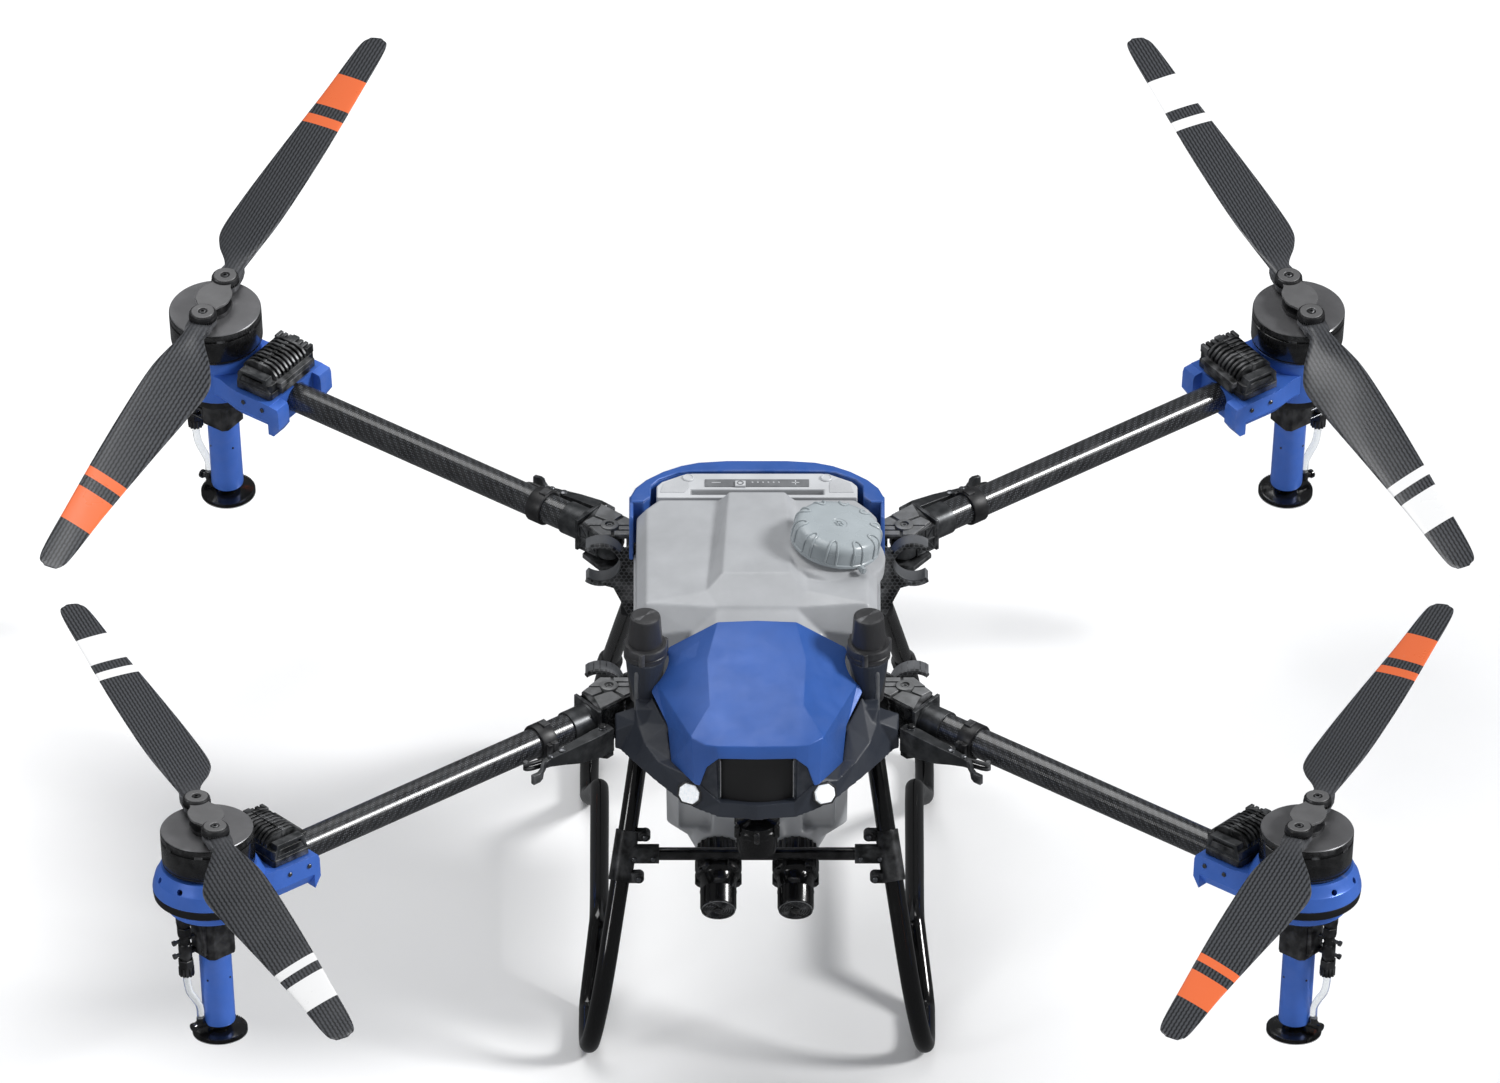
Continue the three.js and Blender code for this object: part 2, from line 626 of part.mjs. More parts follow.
const drone = new THREE.Group();
drone.add(
  makeMesh("main_frame", mainFrame(), COLOUR.carbon, 0.4),
  makeMesh("tank", tank(), COLOUR.tank, 0.35),
  makeMesh("tank_cap", tankCap(), COLOUR.cap, 0.35),
  makeMesh("battery", battery(), COLOUR.battery, 0.4),
  makeMesh("power_button", powerButton(), COLOUR.black, 0.4),
  makeMesh("rear_cover", rearCover(), COLOUR.blue, 0.4, 0.3),
  makeMesh("nose_hood", noseHood(), COLOUR.blue, 0.35, 0.3),
  makeMesh("nose_bumper", noseBumper(), COLOUR.charcoal, 0.5),
  makeMesh("front_camera", frontCamera(), COLOUR.black, 0.4),
  makeMesh("front_cross_tube", crossTube(), COLOUR.carbon, 0.3),
);
for (const [name, side] of [["left", -1], ["right", 1]]) {
  drone.add(
    makeMesh(`antenna_${name}`, antenna(side), COLOUR.charcoal, 0.4),
    makeMesh(`landing_gear_${name}`, landingGear(side), COLOUR.carbon, 0.3),
    makeMesh(`pump_${name}`, pump(side), COLOUR.black, 0.45),
  );
}
for (const arm of ARMS) {
  drone.add(armGroup(arm));
}

export default drone;
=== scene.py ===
"""Looks of the agricultural spray drone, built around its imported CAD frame.

Shapes are drawn in millimetres in the frame of their own sub-assembly and placed in metres.
"""

import json
import math

import bmesh
import bpy
from mathutils import Matrix, Quaternion, Vector


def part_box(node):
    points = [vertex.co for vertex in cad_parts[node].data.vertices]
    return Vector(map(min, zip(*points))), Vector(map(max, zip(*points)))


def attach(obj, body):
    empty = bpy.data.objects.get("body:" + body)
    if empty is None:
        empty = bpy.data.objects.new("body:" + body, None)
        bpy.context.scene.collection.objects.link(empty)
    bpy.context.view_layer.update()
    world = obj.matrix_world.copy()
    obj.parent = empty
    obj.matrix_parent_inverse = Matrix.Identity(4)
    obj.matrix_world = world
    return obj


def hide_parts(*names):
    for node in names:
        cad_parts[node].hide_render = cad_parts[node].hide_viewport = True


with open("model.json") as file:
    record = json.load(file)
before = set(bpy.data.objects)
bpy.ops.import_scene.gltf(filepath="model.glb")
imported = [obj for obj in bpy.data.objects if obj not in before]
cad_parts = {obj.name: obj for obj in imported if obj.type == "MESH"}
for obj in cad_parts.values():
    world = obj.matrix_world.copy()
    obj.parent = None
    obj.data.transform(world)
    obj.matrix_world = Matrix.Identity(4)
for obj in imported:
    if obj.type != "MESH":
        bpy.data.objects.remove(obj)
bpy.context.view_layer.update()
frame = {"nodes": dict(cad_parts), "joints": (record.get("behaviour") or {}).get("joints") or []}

MM = 0.001
JOINTS = {joint["name"]: joint for joint in frame["joints"]}
ARM_NAMES = ("front_left", "front_right", "rear_left", "rear_right")
BLADE_LEVEL = 103.0  # height of the blades above the arm axis
BLADE_BOLT = 41.0  # rotor axis to blade bolt
BLADE_LENGTH = 557.0  # blade bolt to blade tip
TUBE_OFFSET = 12.0  # the arm tube passes this far beside the fold pivot
TUBE_RADIUS = 20.0
ARM_DIRECTION = math.radians(38.2)  # between an open arm and the x axis
FOLD_ANGLE = math.radians(128)  # from open to folded
UP = Vector((0, 0, 1))
LIE_DOWN = Matrix.Rotation(math.pi / 2, 4, "Y")  # turns a lathed shape's axis from z to x


# Mesh building -----------------------------------------------------------------------------------

def polar(radius, angle):
    return radius * math.cos(angle), radius * math.sin(angle)


def around(count, shift=0.0):
    """Angles spread evenly over a full turn."""
    return [2 * math.pi * (k + shift) / count for k in range(count)]


def sided(side, points):
    """Points drawn for the right-hand side (side 1), mirrored for the left (side -1)."""
    return [(side * x, y, z) for x, y, z in points]


def both(points):
    """Points and their mirror images in x."""
    return [p for x, y, z in points for p in ((x, y, z), (-x, y, z))]


def corners(node):
    """Lowest and highest corners of a CAD node, in millimetres."""
    low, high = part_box(node)
    return low / MM, high / MM


def circle(radius, segments, height=0.0, centre=(0.0, 0.0)):
    """Points of a level circle."""
    spots = (polar(radius, angle) for angle in around(segments))
    return [Vector((centre[0] + x, centre[1] + y, height)) for x, y in spots]


def smooth_path(points, steps):
    """A Catmull-Rom curve through the points, with this many steps for each span."""
    points = [Vector(p) for p in points]
    ends = [2 * points[0] - points[1]] + points + [2 * points[-1] - points[-2]]
    curve = []
    for before, start, end, after in zip(ends, ends[1:], ends[2:], ends[3:]):
        for k in range(steps):
            t = k / steps
            curve.append(0.5 * (
                2 * start
                + (end - before) * t
                + (2 * before - 5 * start + 4 * end - after) * t * t
                + (3 * start - before - 3 * end + after) * t ** 3
            ))
    curve.append(points[-1])
    return curve


class Shape:
    """A mesh in the making. Its UVs are in millimetres: u goes round a skin and v goes along it."""

    def __init__(self):
        self.bm = bmesh.new()
        self.uv = self.bm.loops.layers.uv.new("UVMap")

    def skin(self, rings, caps=True, closed=False):
        """Covers rings that have the same number of points."""
        rows = [[self.bm.verts.new(p) for p in ring] for ring in rings]
        pairs = list(zip(rows, rows[1:]))
        if closed:
            pairs.append((rows[-1], rows[0]))
        along = 0.0
        for low, high in pairs:
            step = (high[0].co - low[0].co).length
            around = 0.0
            for k, corner in enumerate(low):
                after = (k + 1) % len(low)
                width = (low[after].co - corner.co).length
                face = self.bm.faces.new((corner, low[after], high[after], high[k]))
                spots = ((0, 0), (width, 0), (width, step), (0, step))
                for loop, (u, v) in zip(face.loops, spots):
                    loop[self.uv].uv = (around + u, along + v)
                around += width
            along += step
        if caps and not closed:
            self.bm.faces.new(rows[0][::-1])
            self.bm.faces.new(rows[-1])
        return self

    def prism(self, outline, bottom, top):
        """An upright block with the outline given as (x, y) points."""
        return self.skin([[(x, y, z) for x, y in outline] for z in (bottom, top)])

    def slab(self, outline, low, high):
        """A block with the outline given as (x, z) points, from one y to another."""
        return self.skin([[(x, y, z) for x, z in outline] for y in (low, high)])

    def box(self, low, high):
        outline = [(low[0], low[1]), (high[0], low[1]), (high[0], high[1]), (low[0], high[1])]
        return self.prism(outline, low[2], high[2])

    def lathe(self, profile, segments=48, centre=(0.0, 0.0), closed=False):
        """Turns (radius, height) points about an upright axis."""
        rings = [circle(max(r, 0.02), segments, z, centre) for r, z in profile]
        return self.skin(rings, closed=closed)

    def rod(self, start, end, radius, end_radius=None, segments=32):
        """A round bar or cone between two points."""
        start, end = Vector(start), Vector(end)
        turn = (end - start).to_track_quat("Z", "Y")
        radii = (radius, radius if end_radius is None else end_radius)
        return self.skin([
            [turn @ p + spot for p in circle(r, segments)]
            for spot, r in zip((start, end), radii)
        ])

    def sweep(self, path, radius, segments=16):
        """A round tube along a path."""
        path = [Vector(p) for p in path]
        tangents = [(b - a).normalized() for a, b in zip(path, path[1:])]
        tangents.append(tangents[-1])
        turn = tangents[0].to_track_quat("Z", "Y")
        rings = []
        for k, spot in enumerate(path):
            if k:
                turn = tangents[k - 1].rotation_difference(tangents[k]) @ turn
            rings.append([turn @ p + spot for p in circle(radius, segments)])
        return self.skin(rings)

    def hull(self, points):
        """The convex skin around points."""
        corners = [self.bm.verts.new(p) for p in points]
        made = bmesh.ops.convex_hull(self.bm, input=corners)
        loose = [v for v in made["geom_interior"] if isinstance(v, bmesh.types.BMVert)]
        bmesh.ops.delete(self.bm, geom=loose, context="VERTS")
        return self

    def toothed(self, radius, depth, teeth, bottom, top, inner):
        """A ring with square teeth on its rim."""
        outer = []
        for k, angle in enumerate(around(teeth * 4)):
            outer.append(polar(radius if k % 4 < 2 else radius - depth, angle))
        hole = [(p.x, p.y) for p in circle(inner, teeth * 4)]
        rings = [
            [(x, y, z) for x, y in outline]
            for outline, z in ((outer, bottom), (outer, top), (hole, top), (hole, bottom))
        ]
        return self.skin(rings, closed=True)

    def faces(self, polygons):
        """Loose flat faces."""
        for polygon in polygons:
            self.bm.faces.new([self.bm.verts.new(p) for p in polygon])
        return self

    def join(self, other):
        mesh = bpy.data.meshes.new("joined")
        other.bm.to_mesh(mesh)
        self.bm.from_mesh(mesh)
        return self

    def transform(self, matrix):
        self.bm.transform(matrix)
        return self

    def flat_uv(self):
        """Sets u and v to x and y."""
        for face in self.bm.faces:
            for loop in face.loops:
                loop[self.uv].uv = (loop.vert.co.x, loop.vert.co.y)
        return self

    def load(self, mesh):
        """Takes a mesh in place of what was drawn so far."""
        self.bm.free()
        self.bm = bmesh.new()
        self.bm.from_mesh(mesh)
        self.uv = self.bm.loops.layers.uv.verify()
        return self


def tidy(shape):
    """Welds corners that meet and turns every face outwards."""
    bmesh.ops.remove_doubles(shape.bm, verts=shape.bm.verts, dist=0.0005)
    bmesh.ops.recalc_face_normals(shape.bm, faces=shape.bm.faces)


def helper_object(shape):
    """An object that only lends its modifiers to a shape."""
    tidy(shape)
    mesh = bpy.data.meshes.new("helper")
    shape.bm.to_mesh(mesh)
    helper = bpy.data.objects.new("helper", mesh)
    bpy.context.scene.collection.objects.link(helper)
    return helper


def baked(shape, helper):
    """Loads a helper's mesh, with its modifiers applied, back into the shape."""
    graph = bpy.context.evaluated_depsgraph_get()
    mesh = bpy.data.meshes.new_from_object(helper.evaluated_get(graph))
    shape.load(mesh)
    bpy.data.objects.remove(helper)
    return shape


def carve(shape, tool):
    """Takes the tool's shape away."""
    body, cutter = helper_object(shape), helper_object(tool)
    modifier = body.modifiers.new("cut", "BOOLEAN")
    modifier.operation = "DIFFERENCE"
    modifier.solver = "EXACT"
    modifier.use_self = True
    modifier.object = cutter
    baked(shape, body)
    bpy.data.objects.remove(cutter)
    return shape


def mould(shape, voxel, rounds):
    """Melts overlapping solids into one skin with rounded edges, as a moulded part has."""
    body = helper_object(shape)
    remesh = body.modifiers.new("melt", "REMESH")
    remesh.mode = "VOXEL"
    remesh.voxel_size = voxel
    soften = body.modifiers.new("soften", "SMOOTH")
    soften.factor = 0.5
    soften.iterations = rounds
    return baked(shape, body)


def shell(shape, thickness, rounding):
    """Gives an open skin its thickness and softens every fold in it."""
    body = helper_object(shape)
    wall = body.modifiers.new("wall", "SOLIDIFY")
    wall.thickness = thickness
    wall.offset = -1.0
    wall.use_even_offset = True
    soften = body.modifiers.new("soften", "BEVEL")
    soften.width = rounding
    soften.segments = 3
    soften.limit_method = "ANGLE"
    soften.angle_limit = math.radians(7)
    return baked(shape, body)


def piece(name, shape, material, body, at=Matrix(), bevel=0.7, stands_for=None, crease=35.0):
    """Turns a shape into a finished piece that rides on a body and may stand for a CAD node."""
    tidy(shape)
    mesh = bpy.data.meshes.new(name)
    shape.bm.to_mesh(mesh)
    shape.bm.free()
    mesh.transform(Matrix.Scale(MM, 4) @ at)
    if at.determinant() < 0:
        mesh.flip_normals()
    mesh.polygons.foreach_set("use_smooth", [True] * len(mesh.polygons))
    if crease:
        mesh.set_sharp_from_angle(angle=math.radians(crease))
    mesh.materials.append(material)
    made = bpy.data.objects.new(name, mesh)
    bpy.context.scene.collection.objects.link(made)
    if bevel:
        rounding = made.modifiers.new("rounded_edges", "BEVEL")
        rounding.width = bevel * MM
        rounding.segments = 2
        rounding.limit_method = "ANGLE"
        rounding.angle_limit = math.radians(32)
        rounding.harden_normals = True
    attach(made, body)
    if stands_for:
        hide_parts(stands_for)
    return made


# Materials ---------------------------------------------------------------------------------------

class Surface:
    """A node material in the making."""

    def __init__(self, name, slot):
        self.material = bpy.data.materials.new(name)
        self.material.use_nodes = True
        self.material["slot"] = slot
        self.nodes = self.material.node_tree.nodes
        self.links = self.material.node_tree.links
        self.shader = self.nodes["Principled BSDF"]

    def put(self, socket, value):
        if isinstance(value, bpy.types.NodeSocket):
            self.links.new(value, socket)
        else:
            socket.default_value = value

    def node(self, kind, settings=None, **inputs):
        made = self.nodes.new(kind)
        for key, value in (settings or {}).items():
            setattr(made, key, value)
        for key, value in inputs.items():
            self.put(made.inputs[key.replace("_", " ")], value)
        return made

    def math(self, operation, a, b=0.0, c=0.0):
        made = self.node("ShaderNodeMath", {"operation": operation})
        for socket, value in zip(made.inputs, (a, b, c)):
            self.put(socket, value)
        return made.outputs[0]

    def times(self, a, b):
        return self.math("MULTIPLY", a, b)

    def plus(self, a, b):
        return self.math("ADD", a, b)

    def over(self, a, b):
        return self.math("DIVIDE", a, b)

    def mix(self, factor, a, b):
        made = self.node("ShaderNodeMix", {"data_type": "RGBA"})
        for key, value in ((0, factor), (6, a), (7, b)):
            self.put(made.inputs[key], value)
        return made.outputs[2]

    def noise(self, scale, detail=4.0, roughness=0.55, vector=None):
        if vector is None:
            vector = self.node("ShaderNodeTexCoord").outputs["Object"]
        made = self.node("ShaderNodeTexNoise", Scale=scale, Detail=detail, Roughness=roughness)
        self.put(made.inputs["Vector"], vector)
        return made.outputs[0]

    def span(self, value, low, high, to_low=0.0, to_high=1.0):
        made = self.node("ShaderNodeMapRange", {"clamp": True})
        for socket, number in zip(made.inputs, (value, low, high, to_low, to_high)):
            self.put(socket, number)
        return made.outputs[0]

    def uv(self):
        made = self.node("ShaderNodeSeparateXYZ", Vector=self.node("ShaderNodeTexCoord").outputs["UV"])
        return made.outputs[0], made.outputs[1]

    def bump(self, height, strength, distance=0.0005):
        made = self.node("ShaderNodeBump", Height=height, Strength=strength, Distance=distance)
        self.put(self.shader.inputs["Normal"], made.outputs[0])

    def worn(self, colour, amount):
        """Lightens a colour along outer edges, unevenly."""
        edge = self.span(self.node("ShaderNodeNewGeometry").outputs["Pointiness"], 0.53, 0.62)
        patchy = self.times(edge, self.span(self.noise(60.0), 0.4, 0.65))
        return self.mix(self.times(patchy, amount), colour, (0.55, 0.56, 0.58, 1.0))

    def finish(self, colour, roughness, metallic=0.0, coat=0.0):
        self.put(self.shader.inputs["Base Color"], colour)
        self.put(self.shader.inputs["Roughness"], roughness)
        self.put(self.shader.inputs["Metallic"], metallic)
        self.put(self.shader.inputs["Coat Weight"], coat)
        self.shader.inputs["Coat Roughness"].default_value = 0.12
        return self.material


def linear(red, green, blue):
    """A display colour from 0 to 255 as a linear colour."""
    def channel(value):
        value /= 255
        return value / 12.92 if value <= 0.04045 else ((value + 0.055) / 1.055) ** 2.4
    return (channel(red), channel(green), channel(blue), 1.0)


def shaded(colour, share):
    """A linear colour with this share of its light."""
    return tuple(share * channel for channel in colour[:3]) + (1.0,)


def grained(name, slot, rgb, roughness, grain=900.0, bump=0.12, metallic=0.0, wear=0.25, coat=0.0):
    """Moulded plastic or coated metal: fine grain, clouded colour and gloss, and worn edges."""
    surface = Surface(name, slot)
    base = linear(*rgb)
    cloud = surface.span(surface.noise(14.0), 0.3, 0.7)
    colour = surface.mix(cloud, shaded(base, 0.82), base)
    fine = surface.noise(grain, detail=3.0)
    streaks = surface.span(surface.noise(35.0, detail=6.0), 0.35, 0.7, -0.06, 0.09)
    surface.bump(fine, bump)
    gloss = surface.plus(streaks, roughness)
    return surface.finish(surface.worn(colour, wear), gloss, metallic, coat)


def turned_metal(name, slot, rgb, roughness=0.38):
    """Alloy with faint lathe rings."""
    surface = Surface(name, slot)
    along = surface.uv()[1]
    lines = surface.node("ShaderNodeCombineXYZ", X=surface.times(along, 2.4)).outputs[0]
    rings = surface.noise(1.0, detail=2.0, vector=lines)
    cloud = surface.span(surface.noise(18.0), 0.3, 0.7, 0.86, 1.06)
    base = linear(*rgb)
    colour = surface.mix(surface.span(rings, 0.3, 0.7), shaded(base, 0.9), base)
    tinted = surface.node("ShaderNodeHueSaturation", Value=cloud, Color=colour).outputs[0]
    surface.bump(rings, 0.1)
    gloss = surface.span(rings, 0.2, 0.8, roughness, roughness + 0.12)
    return surface.finish(surface.worn(tinted, 0.3), gloss, 0.75)


def woven_carbon(name, slot, tow, dark, light, roughness=0.28):
    """Twill of flat tows under clear lacquer, laid out along the UVs, with painted sheen on the tows'
    crowns.
    """
    surface = Surface(name, slot)
    u, v = surface.uv()
    across = surface.over(u, tow)
    along = surface.over(v, tow)
    cell = surface.plus(surface.math("FLOOR", across), surface.math("FLOOR", along))
    over = surface.math("LESS_THAN", surface.math("FLOORED_MODULO", cell, 4.0), 1.5)
    arch_u = surface.math("PINGPONG", across, 0.5)
    arch_v = surface.math("PINGPONG", along, 0.5)
    height = surface.times(surface.times(arch_u, arch_v), 4.0)
    # painted sheen: tows that lie over are lighter and every tow is brightest at its crown, standing in
    # for light on the tows; the twill pattern itself is real
    tow_sheen = surface.times(surface.span(over, 0.0, 1.0, 0.35, 1.0), height)
    colour = surface.mix(tow_sheen, linear(*dark), linear(*light))
    surface.bump(height, 0.25)
    gloss = surface.span(surface.noise(25.0), 0.35, 0.7, roughness - 0.05, roughness + 0.1)
    return surface.finish(surface.worn(colour, 0.15), gloss, 0.0, 0.7)


def honeycomb_carbon(name, slot, cell):
    """Black sheet with a raised grid of hexagons, seen from the front."""
    surface = Surface(name, slot)
    place = surface.node("ShaderNodeTexCoord").outputs["Object"]
    spot = surface.node("ShaderNodeSeparateXYZ", Vector=place)
    x = surface.over(spot.outputs[0], cell * MM)
    z = surface.over(spot.outputs[2], cell * MM)
    tall = math.sqrt(3)

    def folded(value, period):
        repeated = surface.math("FLOORED_MODULO", value, period)
        return surface.math("ABSOLUTE", surface.math("SUBTRACT", repeated, period / 2))

    def to_centre(shift):
        """Distance to the nearest of the centres in every second row, in cells."""
        fold_x = folded(surface.plus(x, shift), 1.0)
        fold_z = folded(surface.plus(z, shift * tall), tall)
        slant = surface.plus(surface.times(fold_x, 0.5), surface.times(fold_z, tall / 2))
        return surface.math("MAXIMUM", fold_x, slant)

    reach = surface.math("MINIMUM", to_centre(0.0), to_centre(0.5))
    wall = surface.span(reach, 0.36, 0.42)
    colour = surface.mix(wall, linear(6, 6, 7), linear(66, 68, 70))
    surface.bump(wall, 0.5)
    return surface.finish(surface.worn(colour, 0.2), surface.span(wall, 0.0, 1.0, 0.35, 0.5))


# Start and end of the painted bands, as shares of the blade's length from its tip.
WIDE_BAND = (0.165, 0.29)
THIN_BAND = (0.33, 0.365)


def blade_carbon(name, slot, band_rgb):
    """Lengthwise carbon cords on a blade, lighter at their crowns as a painted sheen, with a wide and a
    thin painted band near the tip.
    """
    surface = Surface(name, slot)
    x, y = surface.uv()
    pitch = 5.2  # between cords
    cord = surface.math("PINGPONG", surface.over(y, pitch), 0.5)
    row = surface.times(surface.math("FLOOR", surface.over(y, pitch)), pitch)
    beads = surface.math("PINGPONG", surface.over(surface.plus(x, row), pitch * 2), 0.5)
    height = surface.plus(cord, surface.times(beads, 0.35))
    # painted sheen: the cords are lighter towards their crowns, standing in for light on the carbon; the
    # cord pattern itself is real
    colour = surface.mix(surface.span(height, 0.12, 0.5), linear(15, 16, 18), linear(74, 76, 80))
    root = surface.span(x, 20.0, 70.0, 1.0, 0.0)
    colour = surface.mix(surface.times(root, 0.6), colour, linear(74, 75, 78))
    slanted = surface.plus(x, surface.times(y, 0.35))
    share = surface.math("SUBTRACT", 1.0, surface.over(slanted, BLADE_LENGTH))

    def between(low, high):
        above = surface.math("GREATER_THAN", share, low)
        return surface.times(above, surface.math("LESS_THAN", share, high))

    painted = surface.plus(between(*WIDE_BAND), between(*THIN_BAND))
    scuffs = surface.span(surface.noise(60.0, 6.0), 0.68, 0.9)
    scuffed = surface.mix(scuffs, linear(*band_rgb), linear(170, 166, 163))
    colour = surface.mix(painted, colour, scuffed)
    surface.bump(surface.times(height, surface.math("SUBTRACT", 1.0, painted)), 0.22)
    gloss = surface.span(surface.noise(20.0), 0.3, 0.7, 0.24, 0.36)
    return surface.finish(surface.worn(colour, 0.3), gloss, 0.0, 0.35)


def clear_hose():
    """Clear tube with a slight haze."""
    surface = Surface("clear_hose", "black_plastic")
    surface.put(surface.shader.inputs["Transmission Weight"], 0.85)
    surface.put(surface.shader.inputs["IOR"], 1.4)
    haze = surface.span(surface.noise(80.0), 0.3, 0.7, 0.08, 0.22)
    return surface.finish(linear(238, 241, 243), haze)


def lamp_lens():
    """White lens with a fine grid of bumps, softly lit."""
    surface = Surface("lamp_lens", "tank_plastic")
    spots = surface.node("ShaderNodeTexVoronoi", Scale=420.0, Vector=surface.node(
        "ShaderNodeTexCoord").outputs["Object"]).outputs["Distance"]
    colour = surface.mix(surface.span(spots, 0.0, 0.6), linear(255, 255, 255), linear(214, 218, 222))
    surface.put(surface.shader.inputs["Emission Color"], colour)
    surface.shader.inputs["Emission Strength"].default_value = 0.45
    surface.bump(spots, 0.3)
    return surface.finish(colour, 0.2)


BLUE = grained("blue_coating", "blue_shell", (68, 114, 208), 0.34, metallic=0.2, bump=0.16)
BLUE_SHELL = grained(
    "blue_shell_paint", "blue_shell", (51, 94, 172), 0.4, metallic=0.12, bump=0.2, wear=0.1)
BLACK_GLOSS = grained(
    "black_lacquer", "black_plastic", (13, 13, 14), 0.2, grain=300.0, bump=0.03, wear=0.15, coat=0.5)
BLACK_PLASTIC = grained("black_plastic_grain", "black_plastic", (24, 24, 26), 0.42)
BLACK_METAL = grained("black_anodised", "black_alloy", (26, 27, 28), 0.36, metallic=0.3, wear=0.45)
GREY_ARM = grained("grey_anodised", "black_alloy", (50, 52, 54), 0.34, metallic=0.45, wear=0.4)
GREY_CAST = grained(
    "grey_casting_grain", "grey_casting", (120, 121, 122), 0.4, metallic=0.3, bump=0.2, wear=0.4)
# very dark casting colour for the fold plates, so that the gaps between the raised grey fields read as
# dark grooves: painted shade
GROOVE_SHADE_CAST = grained("casting_painted_groove_shade", "grey_casting", (30, 31, 32), 0.4, metallic=0.3, wear=0.5)
CHARCOAL = grained("charcoal_plastic_grain", "charcoal_plastic", (46, 51, 61), 0.5, bump=0.3)
ANTENNA_GREY = grained("antenna_plastic", "charcoal_plastic", (52, 52, 54), 0.4, bump=0.22)
TANK = grained(
    "tank_plastic_skin", "tank_plastic", (176, 178, 181), 0.36, grain=500.0, bump=0.08, wear=0.08)
CAP = grained(
    "cap_plastic_skin", "cap_plastic", (168, 176, 180), 0.26, grain=400.0, bump=0.05, wear=0.1)
BATTERY = grained("battery_plastic_skin", "battery_plastic", (204, 206, 209), 0.42)
ROUGH_PAD = grained(
    "rough_pad", "battery_plastic", (188, 190, 193), 0.6, grain=420.0, bump=0.9, wear=0.5)
DISPLAY = grained("display_strip", "battery_plastic", (112, 114, 117), 0.4)
SCREW = grained("screw_steel", "motor_alloy", (120, 122, 126), 0.3, metallic=0.9)
WINDOW = grained("window_black", "charcoal_plastic", (34, 34, 35), 0.42, bump=0.0, wear=0.0)
RUBBER = grained("rubber_lining", "charcoal_plastic", (92, 94, 97), 0.46, bump=0.25)
MOTOR_LID = turned_metal("motor_lid", "motor_alloy", (128, 128, 130))
DARK_PLATE = grained("hub_plate", "motor_alloy", (112, 112, 113), 0.42, metallic=0.35, bump=0.15)
# the lighter of the two colours is the painted sheen on the tows' crowns
TUBE_WEAVE_AND_SHEEN = woven_carbon("tube_weave_and_sheen", "carbon_fibre", 3.0, (8, 8, 9), (98, 101, 106))
HONEYCOMB = honeycomb_carbon("honeycomb_sheet", "carbon_fibre", 6.4)
BLADE_ORANGE = blade_carbon("blade_orange_bands", "blade_composite", (230, 110, 62))
BLADE_WHITE = blade_carbon("blade_white_bands", "blade_composite", (240, 240, 240))
HOSE = clear_hose()
LENS = lamp_lens()
GEAR_PAINT = grained(
    "gear_lacquer", "carbon_fibre", (6, 6, 7), 0.16, grain=200.0, bump=0.02, wear=0.1, coat=0.6)


# Frames of the arms ------------------------------------------------------------------------------

def columns(x, y, z, origin):
    """A frame from its three axes and its origin."""
    made = Matrix.Identity(4)
    for k, axis in enumerate((x, y, z, origin)):
        made.col[k][:3] = axis
    return made


class Arm:
    """Frames of one arm, in millimetres, mirrored so that every arm is drawn as a left-handed one.

    arm: x runs out from the fold pivot and z is up. motor: z is the rotor axis, at the arm's height.
    """

    def __init__(self, name):
        self.name = name
        self.front = name.startswith("front")
        pivot = Vector(JOINTS[f"arm_fold_{name}"]["pos_m"]) / MM
        spin = JOINTS[f"rotor_spin_{name}"]
        axis = Vector(spin["axis"]).normalized()
        centre = Vector(spin["pos_m"]) / MM - BLADE_LEVEL * axis
        out = UP.cross(axis).normalized()
        if out.dot(centre - pivot) < 0:
            out = -out
        side = UP.cross(out)
        self.length = out.dot(centre - pivot)
        hand = 1 if side.dot(centre - pivot) > 0 else -1
        self.arm = columns(out, hand * side, UP, pivot)
        self.motor = columns(out, hand * axis.cross(out), axis, centre)
        bolt = Vector(JOINTS[f"blade_fold_a_{name}"]["pos_m"]) / MM
        to_bolt = self.motor.inverted() @ bolt
        self.spin = self.motor @ Matrix.Rotation(math.atan2(to_bolt.y, to_bolt.x), 4, "Z")
        self.body = f"arm_{name}"

    def part(self, label, shape, material, at="arm", body=None, stands_for=None, **options):
        """A piece of this arm. The names of the piece and of its CAD node end in the arm's name."""
        place = {"arm": self.arm, "motor": self.motor, "spin": self.spin}[at]
        if stands_for:
            options["stands_for"] = f"{stands_for}_{self.name}"
        return piece(f"{label}_{self.name}", shape, material, body or self.body, place, **options)


# Arms --------------------------------------------------------------------------------------------

def screw_head(shape, spot, axis, radius=3.0):
    """A screw's head: a short cylinder with a sloped edge."""
    spot, axis = Vector(spot), Vector(axis).normalized()
    shoulder = spot + axis * radius * 0.6
    shape.rod(spot, shoulder, radius, segments=20)
    shape.rod(shoulder, spot + axis * radius * 0.9, radius, radius * 0.7, segments=20)
    return shape


